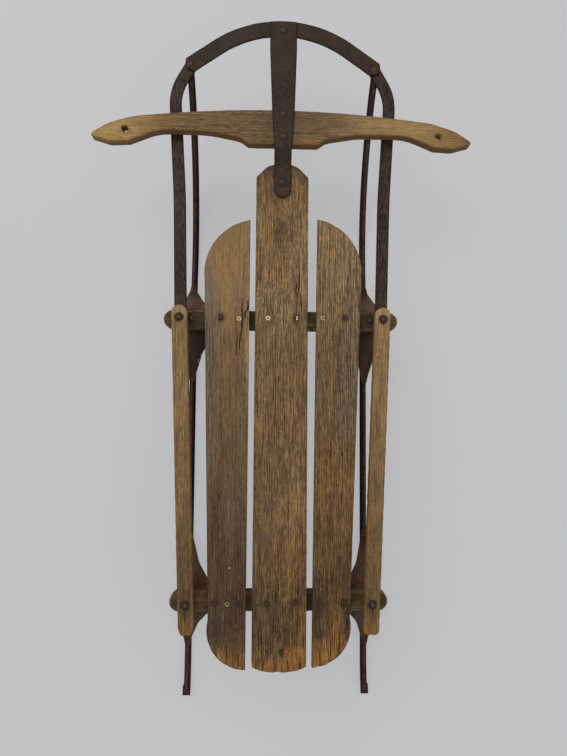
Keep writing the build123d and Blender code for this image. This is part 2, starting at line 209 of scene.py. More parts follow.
def plate(sides, thick, rows, columns, rim, wear=0.0, seed=1, chips=None):
    """A closed plate between four sides, centred on height zero.

    Its face is a Coons patch: the blend of each pair of facing sides, less the blend of the
    corners. Its rim is a quarter circle carried round the outline: at turn a it stands in by
    r (1 - sin a) and down by r (1 - cos a). Wear makes r swell and shrink along the outline.
    Its marks hold each point's distance from the rim and how far it faces sideways."""
    counts = [columns, rows, columns, rows]
    ring = np.concatenate([resample(side, count + 1)[:-1] for side, count in zip(sides, counts)])
    tangent = np.roll(ring, -1, 0) - np.roll(ring, 1, 0)
    tangent /= np.linalg.norm(tangent, axis=1, keepdims=True)
    outward = np.stack([-tangent[:, 1], tangent[:, 0]], axis=1)
    if chips is not None:
        ring = ring - outward * chips(ring[:, 0], ring[:, 1])[:, None]
    radius = rim * (1 + wear * ripple(ring[:, 0], ring[:, 1], 22.0, seed))
    radius = np.clip(radius, 0.35, thick * 0.48)
    turns = np.linspace(0.0, math.pi / 2, 5)
    inset = [ring - outward * (radius * (1 - math.sin(turn)))[:, None] for turn in turns]
    drop = [radius * (1 - math.cos(turn)) for turn in turns]

    count = len(ring)
    marks = [0, columns, columns + rows, 2 * columns + rows, count]
    inner = np.concatenate([inset[0], inset[0][:1]])
    front, right = inner[marks[0] : marks[1] + 1], inner[marks[1] : marks[2] + 1]
    rear, left = inner[marks[2] : marks[3] + 1][::-1], inner[marks[3] : marks[4] + 1][::-1]
    s = np.linspace(0.0, 1.0, rows + 1)[:, None, None]
    t = np.linspace(0.0, 1.0, columns + 1)[None, :, None]
    patch = (1 - t) * left[:, None] + t * right[:, None] + (1 - s) * front[None] + s * rear[None]
    patch = patch - ((1 - s) * ((1 - t) * front[0] + t * front[-1]) + s * ((1 - t) * rear[0] + t * rear[-1]))
    ends = (left[:, None], right[:, None], front[None], rear[None])
    near = np.min([np.linalg.norm(patch - end, axis=2) for end in ends], axis=0)
    flat = patch.reshape(-1, 2)
    face_count = len(flat)
    row, column = rows + 1, columns + 1
    numbers = np.arange(face_count).reshape(row, column)
    border = np.concatenate([numbers[0, :-1], numbers[:-1, -1], numbers[-1, :0:-1], numbers[:0:-1, 0]])

    half = thick / 2
    heights = [half - d for d in drop[1:]] + [d - half for d in drop[:0:-1]]
    rims = inset[1:] + inset[:0:-1]
    layers = [border] + [2 * face_count + k * count + np.arange(count) for k in range(len(rims))]
    layers.append(border + face_count)
    strips = [np.stack([a, np.roll(a, -1), np.roll(b, -1), b], axis=1) for a, b in zip(layers, layers[1:])]
    top = grid_faces(row, column)[:, ::-1]
    points = [np.column_stack([flat, np.full(face_count, level)]) for level in (half, -half)]
    points += [np.column_stack([run, height]) for run, height in zip(rims, heights)]
    rim_marks = np.concatenate([near.ravel(), near.ravel(), np.zeros(count * len(rims))])
    sideways = [math.sin(turn) for turn in turns[1:]]
    sideways = np.repeat(sideways + sideways[::-1], count)
    side_marks = np.concatenate([np.zeros(2 * face_count), sideways])
    faces = np.concatenate([top, top[:, ::-1] + face_count] + strips)
    marks = {"rim": rim_marks, "side": side_marks}
    return {"points": np.concatenate(points), "faces": faces.tolist(), "marks": marks}


def carried(sections):
    """A profile carried along a path: sections is stations by profile points by x, y, z. The
    faces join neighbouring sections, and a flat face closes each end."""
    stations, around = sections.shape[:2]
    faces = grid_faces(stations, around, wrap=True).tolist()
    faces.append(list(range(around))[::-1])
    faces.append(list(range((stations - 1) * around, stations * around)))
    return {"points": sections.reshape(-1, 3), "faces": faces, "marks": {}}


def turned(profile, places, sides=32, hexed=None):
    """Copies of a turned shape: the profile (radius, height) goes round the upright axis of each
    place (x, y, z). Profile points named in hexed follow a hexagon: their radius is divided by
    the cosine of the angle to the nearest flat. The profile starts and ends on the axis."""
    profile = np.array(profile, float)
    angle = np.linspace(0.0, 2 * math.pi, sides, endpoint=False)
    radius = np.repeat(profile[1:-1, :1], sides, axis=1)
    if hexed is not None:
        off = (angle + math.pi / 6) % (math.pi / 3) - math.pi / 6
        radius[hexed] = radius[hexed] * math.cos(math.pi / 6) / np.cos(off)
    height = np.repeat(profile[1:-1, 1:], sides, axis=1)
    body = np.stack([radius * np.cos(angle), radius * np.sin(angle), height], axis=2).reshape(-1, 3)
    points = np.concatenate([body, [[0, 0, profile[0, 1]], [0, 0, profile[-1, 1]]]])
    rings = len(profile) - 2
    faces = grid_faces(rings, sides, wrap=True).tolist()
    here, beside = np.arange(sides), np.roll(np.arange(sides), -1)
    faces += np.stack([np.full(sides, rings * sides), beside, here], axis=1).tolist()
    last = (rings - 1) * sides
    faces += np.stack([np.full(sides, rings * sides + 1), here + last, beside + last], axis=1).tolist()
    marks = {"axis": np.hypot(points[:, 0], points[:, 1]), "rim": np.full(len(points), 9.0)}
    one = {"points": points, "faces": faces, "marks": marks}
    return gather([moved(one, place) for place in places])


def moved(surface, shift):
    """A surface shifted by (x, y, z)."""
    return {**surface, "points": surface["points"] + np.array(shift, float)}


def mirrored(surface):
    """A surface's left-hand copy: x changes sign and the faces turn round."""
    points = surface["points"] * np.array([-1.0, 1.0, 1.0])
    return {**surface, "points": points, "faces": [face[::-1] for face in surface["faces"]]}


def gather(surfaces):
    """Several surfaces as one, with the face numbers shifted."""
    points, faces, start = [], [], 0
    for surface in surfaces:
        points.append(surface["points"])
        faces += [[number + start for number in face] for face in surface["faces"]]
        start += len(surface["points"])
    names = surfaces[0]["marks"]
    marks = {name: np.concatenate([s["marks"][name] for s in surfaces]) for name in names}
    return {"points": np.concatenate(points), "faces": faces, "marks": marks}


def bent(surface, profile):
    """A flat surface laid on a curved sheet: its y is the distance along the profile (y, z), and
    its height stands off at right angles to it."""
    steps = np.linalg.norm(np.diff(profile, axis=0), axis=1)
    length = np.concatenate([[0.0], np.cumsum(steps)])
    normal = normals_left(profile)
    x, along, off = surface["points"].T
    place = [np.interp(along, length, column) for column in (*profile.T, *normal.T)]
    points = np.stack([x, place[0] + off * place[2], place[1] + off * place[3]], axis=1)
    return {**surface, "points": points}


def outward(surface):
    """The surface with its faces turned round if the volume that they close comes out negative."""
    points = surface["points"] - surface["points"].mean(0)
    quads = np.array([face for face in surface["faces"] if len(face) == 4])
    a, b, c, d = (points[quads[:, k]] for k in range(4))
    if np.einsum("ij,ij->i", a, np.cross(b, c) + np.cross(c, d)).sum() < 0:
        surface = {**surface, "faces": [face[::-1] for face in surface["faces"]]}
    return surface


def put(name, surface, material):
    """Makes the object: points in metres, its marks as attributes, smooth with sharp folds."""
    surface = outward(surface)
    mesh = bpy.data.meshes.new(name)
    mesh.from_pydata((surface["points"] * MM).tolist(), [], surface["faces"])
    for mark, values in surface["marks"].items():
        attribute = mesh.attributes.new(mark, "FLOAT", "POINT")
        attribute.data.foreach_set("value", np.asarray(values, np.float32))
    mesh.update()
    mesh.validate()
    mesh.shade_smooth()
    mesh.set_sharp_from_angle(angle=FOLD)
    mesh.materials.append(material)
    piece = bpy.data.objects.new(name, mesh)
    bpy.context.scene.collection.objects.link(piece)
    return piece


def carve(piece, cutter):
    """Cuts a closed surface out of a piece, as a drill or a crack would."""
    tool = put("cutter", cutter, piece.data.materials[0])
    change = piece.modifiers.new("carve", "BOOLEAN")
    change.operation = "DIFFERENCE"
    change.solver = "EXACT"
    change.object = tool
    graph = bpy.context.evaluated_depsgraph_get()
    mesh = bpy.data.meshes.new_from_object(piece.evaluated_get(graph))
    piece.modifiers.clear()
    piece.data = mesh
    bpy.data.objects.remove(tool)
    mesh.set_sharp_from_angle(angle=FOLD)


# Materials


class Recipe:
    """A material under construction: each call adds one shader node and joins its inputs."""

    def __init__(self, name):
        self.material = bpy.data.materials.new(name)
        self.material.use_nodes = True
        self.nodes = self.material.node_tree.nodes
        self.links = self.material.node_tree.links
        self.shader = self.nodes["Principled BSDF"]
        self.object = self.node("ShaderNodeTexCoord").outputs["Object"]

    def node(self, kind, inputs=(), **settings):
        made = self.nodes.new(kind)
        for key, value in settings.items():
            setattr(made, key, value)
        for key, value in dict(inputs).items():
            self.join(made.inputs[key], value)
        return made

    def join(self, socket, value):
        if isinstance(value, bpy.types.NodeSocket):
            self.links.new(value, socket)
        else:
            socket.default_value = value

    def stretched(self, scale, shift=(0.0, 0.0, 0.0)):
        """Object coordinates scaled on each axis, features per metre."""
        inputs = {"Vector": self.object, "Scale": scale, "Location": shift}
        return self.node("ShaderNodeMapping", inputs).outputs["Vector"]

    def noise(self, vector, detail, rough, twist=0.0):
        inputs = {"Vector": vector, "Scale": 1.0, "Detail": detail, "Roughness": rough, "Distortion": twist}
        return self.node("ShaderNodeTexNoise", inputs).outputs[0]

    def range(self, value, low, high, to_low=0.0, to_high=1.0):
        inputs = {"Value": value, "From Min": low, "From Max": high, "To Min": to_low, "To Max": to_high}
        return self.node("ShaderNodeMapRange", inputs, clamp=True).outputs["Result"]

    def math(self, operation, *values):
        return self.node("ShaderNodeMath", enumerate(values), operation=operation).outputs[0]

    def plus(self, a, b):
        return self.math("ADD", a, b)

    def times(self, a, b):
        return self.math("MULTIPLY", a, b)

    def mark(self, name):
        return self.node("ShaderNodeAttribute", attribute_name=name).outputs["Fac"]

    def mix(self, share, a, b, blend="MIX"):
        """Colour a turned into colour b by a share; a and b are sockets 6 and 7 of the node."""
        inputs = {"Factor": share, 6: self.colour(a), 7: self.colour(b)}
        return self.node("ShaderNodeMix", inputs, data_type="RGBA", blend_type=blend).outputs[2]

    def dyed(self, base, share, factor):
        """A share of the base multiplied by a factor, which may be brighter than white."""
        return self.mix(share, base, self.mix(1.0, base, factor, "MULTIPLY"))

    @staticmethod
    def colour(value):
        return value if isinstance(value, bpy.types.NodeSocket) else (*tuple(value)[:3], 1.0)

    def bump(self, height, strength, distance):
        inputs = {"Height": height, "Strength": strength, "Distance": distance}
        return self.node("ShaderNodeBump", inputs).outputs["Normal"]

    def finish(self, colour, rough, normal, **constants):
        inputs = {"Base Color": self.colour(colour), "Roughness": rough, "Normal": normal}
        for key, value in {**inputs, **constants}.items():
            self.join(self.shader.inputs[key.replace("_", " ")], value)
        return self.material


# The wood's noises: width across and length along the grain in millimetres, offset, detail,
# roughness, twist
WOOD_NOISES = {
    "slow": (38.0, 130.0, 3.0, 3.0, 0.55),
    "bend": (24.0, 210.0, 7.0, 2.0, 0.5),
    "bands": (4.6, 170.0, 0.0, 2.0, 0.6, 0.8),
    "lines": (1.3, 60.0, 4.0, 3.0, 0.6, 0.25),
    "dashes": (1.2, 7.5, 9.0, 2.0, 0.55, 0.15),
    "fibres": (0.75, 13.0, 6.0, 2.0, 0.6),
    "pores": (0.45, 3.0, 11.0, 1.0, 0.5),
    "checks": (7.5, 150.0, 5.0, 5.0, 0.6, 0.5),
    "mottle": (11.0, 24.0, 2.0, 4.0, 0.62),
}
# The evenly spaced growth lines: width, length and offset, as above, and the wave's settings
YEAR_LINES = (11.0, 75.0, 8.0)
YEAR_WAVE = {"Scale": 1.0, "Distortion": 7.0, "Detail": 3.0, "Detail Roughness": 0.6}
# Layers of grain: noise, its value where the layer starts and where it is full, share, and the
# factor on the colour
WOOD_LAYERS = [
    ("bands", 0.40, 0.62, 0.38, (0.62, 0.58, 0.54)),
    ("years", 0.40, 0.05, 0.42, (0.52, 0.47, 0.43)),
    ("years", 0.60, 0.95, 0.42, (1.42, 1.4, 1.36)),
    ("lines", 0.50, 0.34, 0.80, (0.34, 0.30, 0.27)),
    ("lines", 0.51, 0.66, 0.70, (1.75, 1.72, 1.64)),
    ("close", 0.47, 0.35, 0.62, (0.28, 0.24, 0.21)),
    ("close", 0.53, 0.67, 0.40, (1.6, 1.58, 1.5)),
    ("fibres", 0.48, 0.34, 0.80, (0.36, 0.32, 0.28)),
    ("fibres", 0.52, 0.66, 0.60, (1.6, 1.58, 1.5)),
]


def weathered_wood(name, along, look, shift, greyness, depth, rims, sides=0.0, broad=1.0, weave=1.0, **tints):
    """Old oak. Colour goes from dark to pale by the tone mark and slow noise; growth bands and
    lines, dashes and fibres are drawn out along the grain, each finer than the last; the dashes
    stand closer where the mottle is dark; thin dark checks are where a drawn-out noise crosses
    its middle. The calm mark smooths the grain, broad scales its wide features and weave the
    widths of the fine ones. The stain mark darkens the wood for real stains and for painted shade.
    Tints may give this board's own dark, pale and rim colours; a dark rim colour is painted shade
    along the rounded edges."""
    r = Recipe(name)

    def grain(across, length, offset):
        scale = [1 / (across * MM)] * 3
        scale[along] = 1 / (length * MM)
        return r.stretched(scale, (shift + offset, shift * 0.7 + offset, 0.3 * shift))

    n = {}
    for key, (across, length, offset, *kind) in WOOD_NOISES.items():
        across *= weave if key in ("lines", "dashes") else 1.0
        n[key] = r.noise(grain(across, length, offset), *kind)
    across, length, offset = YEAR_LINES
    inputs = {"Vector": grain(across * weave, length, offset), **YEAR_WAVE}
    n["years"] = r.node("ShaderNodeTexWave", inputs, bands_direction="YX"[along]).outputs["Fac"]
    n["close"] = r.plus(n["dashes"], r.range(n["mottle"], 0.32, 0.68, -0.035 * broad, 0.03 * broad))

    tone = r.plus(r.mark("tone"), r.range(n["slow"], 0.25, 0.75, -0.26 * broad, 0.26 * broad))
    tone = r.plus(tone, r.range(n["mottle"], 0.3, 0.7, -0.12 * broad, 0.12 * broad))
    base = r.mix(r.range(tone, 0.0, 0.55), tints.get("dark", look.wood_dark), look.wood_mid)
    base = r.mix(r.range(tone, 0.5, 1.05), base, tints.get("pale", look.wood_pale))
    grey = r.times(r.range(n["bend"], 0.30, 0.66), r.plus(r.mark("grey"), greyness * 0.35))
    base = r.mix(grey, base, r.mix(r.range(tone, 0.45, 0.95), look.wood_grey, look.wood_silver))
    gold = r.times(r.mark("gold"), r.range(n["mottle"], 0.25, 0.62, 0.35, 1.0))
    base = r.mix(gold, base, look.wood_gold)

    strength = r.range(r.mark("calm"), 0.0, 1.0, depth, depth * 0.3)
    for key, low, high, share, factor in WOOD_LAYERS:
        share *= broad if key == "bands" else 1.0
        base = r.dyed(base, r.times(r.range(n[key], low, high, 0.0, share), strength), factor)
    pits = r.times(r.range(n["pores"], 0.36, 0.26), strength)
    base = r.mix(r.times(pits, 0.6), base, look.wood_pore_and_shade)
    off = r.math("ABSOLUTE", r.plus(n["checks"], -0.5))
    checks = r.times(r.range(off, 0.009, 0.0), r.range(n["slow"], 0.42, 0.6))
    base = r.mix(r.times(checks, r.times(strength, 0.8)), base, look.wood_pore_and_shade)

    # Stain mark: real stains, and painted shade in the benches' slat gaps, round bolt heads, in holes, beside
    # the strap and low on the crossbar's sides
    stain = r.times(r.mark("stain"), r.range(n["close"], 0.3, 0.62, 1.15, 0.5))
    base = r.mix(r.range(stain, 0.0, 1.0), base, look.wood_stain_and_shade)
    ragged = r.noise(r.stretched((160.0, 160.0, 160.0)), 3.0, 0.6)
    edge = r.times(r.range(r.mark("rim"), 2.4, 0.0), r.range(ragged, 0.38, 0.62))
    base = r.mix(r.times(edge, rims), base, tints.get("rim", look.wood_gold))
    if sides:
        base = r.mix(r.times(r.mark("side"), sides), base, look.wood_side)

    height = n["dashes"]
    for value, share in ((n["lines"], 0.5), (n["fibres"], 0.5), (pits, -0.4), (checks, -1.2)):
        height = r.plus(height, r.times(value, share))
    normal = r.bump(height, look.wood_relief, 0.0005)
    rough = r.range(n["dashes"], 0.3, 0.7, 0.9, 0.74)
    return r.finish(base, rough, normal, Specular_IOR_Level=0.16)


def aged_steel(
    name, look, base, rust, worn, shine, shift, paint=None, drawn=False, crown=None, gloss=0.12, rim=None
):
    """Old dark steel: brown patina in clouds, a speckle of darker and paler grains that is drawn
    out along rolled bars, rust where fine and coarse noise agree, a paler colour on the rims that is
    rubbed metal and, on the runners' web top, a painted highlight, or a given colour on the rims
    that is painted shade along the rounded edges, pits in the relief. Old paint stays in the
    hollows of a slow noise, and a crown is a lighter middle: partly wear, partly a painted highlight
    on the domed heads. Dark rings round the heads are painted shade."""
    r = Recipe(name)
    along, strong = (110.0, 1.0) if drawn else (430.0, 0.6)
    cloud = r.noise(r.stretched((42.0, 30.0, 42.0), (shift, 0.0, 0.0)), 4.0, 0.62)
    patch = r.noise(r.stretched((130.0, 90.0, 130.0), (0.0, shift, 0.0)), 5.0, 0.68, 0.3)
    speckle = r.noise(r.stretched((560.0, along, 560.0), (0.0, shift, shift)), 3.0, 0.6)
    fine = r.noise(r.stretched((900.0, 620.0, 900.0)), 3.0, 0.6)
    brushed = r.noise(r.stretched((700.0, 40.0, 700.0)), 2.0, 0.5)
    colour = r.mix(r.range(cloud, 0.3, 0.7), base, look.steel_deep)
    if paint is not None:
        colour = r.mix(r.times(r.range(cloud, 0.62, 0.5), r.range(patch, 0.38, 0.52)), colour, paint)
        # The knees' paler front slopes, and a painted sheen along their rear flanks
        colour = r.mix(r.mark("dust"), colour, look.knee_paler_and_sheen)
    colour = r.dyed(colour, r.range(speckle, 0.50, 0.36, 0.0, strong), (0.26, 0.26, 0.32))
    colour = r.dyed(colour, r.range(speckle, 0.51, 0.65, 0.0, strong), (2.5, 2.0, 1.7))
    colour = r.mix(r.times(r.range(fine, 0.54, 0.75), 0.35), colour, look.steel_worn_and_highlight)
    rusty = r.times(r.range(patch, 0.5, 0.68), r.range(fine, 0.35, 0.62))
    rusty = r.range(r.plus(r.times(rusty, rust), r.mark("rust")), 0.0, 1.0)
    colour = r.mix(rusty, colour, r.mix(r.range(fine, 0.4, 0.65), look.rust_dark, look.rust_bright))
    # Rims: the paler worn colour (a painted highlight on the runners' web top), or the given dark colour,
    # which paints the shade along rounded edges; worn sets its share
    if rim is None:
        rim, edge = look.steel_worn_and_highlight, r.times(r.range(r.mark("rim"), 1.5, 0.2), r.range(patch, 0.4, 0.58))
    else:
        edge = r.range(r.mark("rim"), 1.9, 0.5)
    colour = r.mix(r.times(edge, worn), colour, rim)
    # Crown: a lighter middle on the heads, partly wear and partly a painted highlight on the domes
    if crown is not None:
        middle = r.times(r.range(r.mark("axis"), 2.9, 0.9), r.range(fine, 0.35, 0.6, 0.5, 1.0))
        colour = r.mix(middle, colour, crown)
    if paint is not None:
        colour = r.mix(r.times(r.mark("paint"), r.range(patch, 0.34, 0.48)), colour, look.old_red)
    colour = r.mix(r.range(r.mark("fleck"), 0.45, 0.6), colour, look.bright_fleck)
    # Painted shade: dark rings round bolt and rivet heads
    colour = r.mix(r.range(r.mark("grime"), 0.0, 1.0), colour, look.grime)
    height = r.plus(r.times(patch, 0.8), r.times(speckle, 0.4))
    height = r.plus(height, r.times(r.plus(fine, brushed), 0.25))
    rough = r.plus(r.times(patch, 0.6), r.times(cloud, 0.5))
    rough = r.range(rough, 0.3, 0.8, shine - 0.1, shine + 0.22)
    return r.finish(colour, rough, r.bump(height, 0.5, 0.00035), Specular_IOR_Level=gloss)


def brass(name, look):
    """Dull yellow metal with brown tarnish in soft patches and bright scratches."""
    r = Recipe(name)
    patch = r.noise(r.stretched((500.0, 500.0, 500.0)), 3.0, 0.6)
    fine = r.noise(r.stretched((2600.0, 1700.0, 2600.0)), 2.0, 0.6)
    colour = r.mix(r.range(patch, 0.42, 0.66), look.brass_bright, look.brass_dull)
    colour = r.mix(r.times(r.range(fine, 0.56, 0.7), 0.5), colour, look.brass_dull)
    # Painted shade: the hollow middle of each head darkens to the pore colour
    colour = r.mix(r.range(r.mark("axis"), 1.6, 1.35), colour, look.wood_pore_and_shade)
    colour = r.mix(r.mark("dull"), colour, look.wood_pore_and_shade)
    normal = r.bump(r.plus(patch, fine), 0.35, 0.0002)
    return r.finish(colour, r.range(patch, 0.4, 0.65, 0.3, 0.55), normal, Metallic=0.35)


def pale_floor(name, stage):
    """Smooth pale ground with the faintest clouds and scuffs. To the camera a share of it shows
    as plain colour, which keeps the shadow light."""
    r = Recipe(name)
    cloud = r.noise(r.stretched((1.6, 1.6, 1.6)), 4.0, 0.6)
    scuff = r.noise(r.stretched((24.0, 9.0, 24.0)), 5.0, 0.65)
    shade = tuple(0.95 * channel for channel in stage.floor_colour)
    colour = r.mix(r.range(cloud, 0.3, 0.7), stage.floor_colour, shade)
    colour = r.mix(r.times(r.range(scuff, 0.62, 0.8), 0.15), colour, (0.4, 0.4, 0.39))
    material = r.finish(colour, 0.6, r.bump(scuff, 0.05, 0.0005))
    plain = r.node("ShaderNodeEmission", {"Color": (*stage.floor_seen, 1.0)})
    share = r.times(r.node("ShaderNodeLightPath").outputs["Is Camera Ray"], stage.floor_plain)
    blend = r.node("ShaderNodeMixShader", {0: share, 1: r.shader.outputs[0], 2: plain.outputs[0]})
    r.links.new(blend.outputs[0], r.nodes["Material Output"].inputs["Surface"])
    return material


# Settings


def tint(label, words, value):
    """A colour setting."""
    return bpy.props.FloatVectorProperty(
        name=label, description=words, default=value, subtype="COLOR", size=3, min=0.0, max=1.0
    )


def size(label, words, value):
    """A length setting, metres."""
    return bpy.props.FloatProperty(name=label, description=words, default=value, unit="LENGTH", precision=5)


def amount(label, words, value, low=0.0, **kind):
    """A number setting."""
    return bpy.props.FloatProperty(name=label, description=words, default=value, min=low, **kind)


class SledFinish(bpy.types.PropertyGroup):
    """Colours of the wood and the metal."""

    wood_pale: tint("Pale wood", "Where the boards are driest and palest", (0.330, 0.222, 0.104))
    wood_mid: tint("Middle wood", "The boards' usual brown", (0.195, 0.117, 0.049))
    wood_dark: tint("Dark wood", "Where the boards are darkest", (0.066, 0.037, 0.018))
    wood_grey: tint("Grey wood", "Weathered grey patches", (0.130, 0.092, 0.058))
    wood_silver: tint("Silver wood", "Weathered grey where the board is pale", (0.215, 0.158, 0.100))
    wood_gold: tint("Golden wood", "Fresh wood where it has worn or chipped", (0.262, 0.118, 0.027))
    # Also the painted shade in the screws' hollow middles
    wood_pore_and_shade: tint("Pores", "Open pores and checks", (0.020, 0.012, 0.007))
    # Stain colour: real grime and iron stains, and also the painted shade in gaps, holes, round bolt heads
    # and on the crossbar's rims
    wood_stain_and_shade: tint("Stain", "Grime and iron stains", (0.028, 0.018, 0.011))
    # Painted shade: the slats' rims darken to this colour for the shade along their rounded edges
    wood_rim_shade: tint("Slat rim", "The slats' dirty rims", (0.072, 0.043, 0.021))
    wood_side: tint("Edge wood", "The orange brown of the crossbar's edges", (0.125, 0.062, 0.021))
    wood_straw: tint("Straw wood", "The crossbar's yellow hands", (0.350, 0.232, 0.086))
    wood_olive: tint("Olive wood", "The crosspieces' dark greenish brown", (0.040, 0.027, 0.010))
    wood_relief: amount("Relief", "How deep the grain stands", 0.6, max=1.0)
    steel_brown: tint("Brown steel", "Strap and bow", (0.036, 0.022, 0.013))
    steel_grey: tint("Grey steel", "Side bars", (0.034, 0.025, 0.020))
    steel_deep: tint("Deep steel", "Darkest clouds of the patina", (0.017, 0.011, 0.008))
    # Worn steel: rubbed rims and specks, and also the painted highlight on the bolt crowns and on the
    # runners' web top
    steel_worn_and_highlight: tint("Worn steel", "Rubbed rims and heads", (0.088, 0.060, 0.043))
    # The rivets' lighter middles: partly wear, partly a painted highlight on the domes
    rivet_brown: tint("Rivet brown", "Rubbed middles of the rivets", (0.074, 0.043, 0.028))
    # Painted shade: dark rings round the bolt and rivet heads and the dark rims of the flat steel
    grime: tint("Grime", "Black dirt round the bolt heads", (0.010, 0.007, 0.005))
    # Small bright flecks on the left front knee
    bright_fleck: tint("Bare steel", "Small bright chips", (0.32, 0.30, 0.28))
    runner_brown: tint("Runner brown", "The runners' dark brown", (0.027, 0.012, 0.009))
    knee_paint: tint("Knee paint", "Old dark red paint gone brown", (0.047, 0.0225, 0.0140))
    # Paler brown on the knees' front slopes, and a painted sheen along the middle of their rear flanks
    knee_paler_and_sheen: tint("Knee dust", "Dry brown dust on the knees' front slopes", (0.128, 0.069, 0.036))
    old_red: tint("Old red", "Traces of the first red paint", (0.22, 0.030, 0.020))
    rust_dark: tint("Dark rust", "Rust in the shade", (0.055, 0.023, 0.011))
    rust_bright: tint("Bright rust", "Fresh orange rust", (0.115, 0.044, 0.016))
    screw_brown: tint("Screw brown", "Middles of the dull screws", (0.135, 0.085, 0.042))
    brass_bright: tint("Bright brass", "Screws that still shine", (0.80, 0.69, 0.36))
    brass_dull: tint("Dull brass", "Tarnish on the screws", (0.14, 0.095, 0.04))


class SledShapes(bpy.types.PropertyGroup):
    """Sizes that a user may change."""

    slat_rim: size("Slat rim", "Rounding of the slats' worn edges", 0.0013)
    bar_rim: size("Bar rim", "Rounding of the flat steel's edges", 0.0007)
    crossbar_rim: size("Crossbar rim", "Rounding of the crossbar's edges", 0.0018)
    chip_depth: size("Chip depth", "How deep the boards' tails are chipped", 0.0010)
    screw_radius: size("Screw head", "Radius of the slats' screw heads", 0.0036)


class SledStage(bpy.types.PropertyGroup):
    """Floor, lights and camera."""

    floor_colour: tint("Floor", "Pale ground", (0.575, 0.577, 0.590))
    floor_seen: tint("Plain floor", "The floor's colour where no shadow falls", (0.530, 0.532, 0.545))
    floor_plain: amount("Plain share", "Share of plain colour in the floor", 0.72, max=1.0)
    sky_strength: amount("Sky", "Strength of the light from all round", 0.62, max=4.0)
    key_power: amount("Main light", "Power of the main soft light", 34.0, subtype="POWER")
    fill_power: amount("Fill light", "Power of the soft light opposite", 10.0, subtype="POWER")
    lens: amount("Lens", "Focal length on a 36 mm sensor", 27.05, low=8.0, unit="CAMERA")
    camera_place: bpy.props.FloatVectorProperty(
        name="Camera place",
        description="Where the camera stands",
        default=(-0.0271, -0.0702, 0.9903),
        subtype="TRANSLATION",
        unit="LENGTH",
    )
    camera_turn: bpy.props.FloatVectorProperty(
        name="Camera turn",
        description="The camera's turn as an axis times an angle",
        default=(0.06336, -0.03683, 0.00873),
        subtype="XYZ",
    )


def marked(surface, **marks):
    """The surface with more marks: a value for each point, by name."""
    return {**surface, "marks": {**surface["marks"], **marks}}


def fitted(name, surface, material, body, slot, *nodes, cutter=None):
    """Makes a piece and cuts the cutter out of it. It moves with its body and stands for its nodes.
    The slot is not used."""
    piece = put(name, surface, material)
    if cutter is not None:
        carve(piece, cutter)
    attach(piece, body)
    if nodes:
        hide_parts(*nodes)


# The slats' screws, millimetres: front row, then rear row
BRASS_SCREWS = [(-63.2, 71.2), (-19.9, 72.5), (21.3, 73.0), (62.4, 73.6), (-75.3, -344.6)]
DARK_SCREWS = [(-90.1, 72.2), (95.8, 74.2), (-93.2, -343.6), (-57.3, -344.1), (-18.7, -343.6)]
DARK_SCREWS += [(22.2, -343.2), (58.7, -342.6), (93.0, -343.0)]
SUNK_SCREW, NAIL = BRASS_SCREWS[2], (-73.2, -293.2)
# Brass screws that have gone dull, and stains: x, y, half width, half length, strength
DULL_SCREWS = [(-63.2, 71.2, 9, 9, 0.3), (62.4, 73.6, 9, 9, 0.45), (-75.3, -344.6, 9, 9, 0.68)]
# A dark spot round each dull screw and a faint run along the board at every screw
SCREW_STAINS = [(x, y, 5.4, 5.4, 1.5) for x, y in [*DARK_SCREWS, SUNK_SCREW]]
SCREW_STAINS += [(x, y, 4.2, 9, 0.4) for x, y in BRASS_SCREWS + DARK_SCREWS]
TAIL_HOLE = (3.4, -413.5)
# Dark spots on the middle slat: x, y, half width, half length, strength. The strongest, at the tail hole, is
# painted shade in and round the hole
CENTRE_STAINS_AND_SHADE = [
    (-2, 212, 13, 24, 0.75), (-3, 172, 8, 30, 0.35), (22, 218, 8, 26, 0.4),
    (-35.7, 133, 2.6, 3.6, 0.9), (21, 128, 4, 20, 0.6), (22, 88, 6, 12, 0.4),
    (-20, 86, 3, 12, 0.35), (-6, -386, 5, 13, 0.95), (-8, -362, 6, 24, 0.6),
    (12, -372, 12, 30, 0.3), (3.4, -412.5, 3, 5, 2.4), (-30, -425, 8, 10, 0.5),
    (-28, -300, 4, 30, 0.3),
]
# Cracks: x and y of both ends, width
CENTRE_CRACKS = [
    (24, 104, 27, 142, 1.3), (20.5, 112, 23, 126, 0.9), (30, 84, 29, 110, 0.8),
    (-32, 118, -31, 150, 0.7), (-22, -449, -24.5, -410, 1.2), (-7, -451, -6, -423, 1),
    (14, -450, 11.5, -414, 1.2), (29, -448, 31.5, -418, 1.1),
]
LEFT_CRACKS = [
    (-54.6, 73, -48.2, 102, 2.2), (-61.5, 22, -57.2, 102, 1.9), (-67, 18, -65.2, 58, 1),
    (-58, -442, -59.5, -414, 1), (-74, -436, -75.5, -404, 0.9),
]
RIGHT_CRACKS = [
    (60, -444, 57.5, -402, 1.2), (73, -438, 75, -392, 1.2), (85, -426, 88.5, -382, 1.1),
    (96, -398, 98, -356, 1), (92, -150, 91, -120, 0.7),
]
# How the outer slats sit, as in the photo: millimetres aside at the tail, splay, millimetres ahead
SLAT_SET = {1: (0, 0.0048, 1.2), -1: (-1, 0.0052, -1.6)}


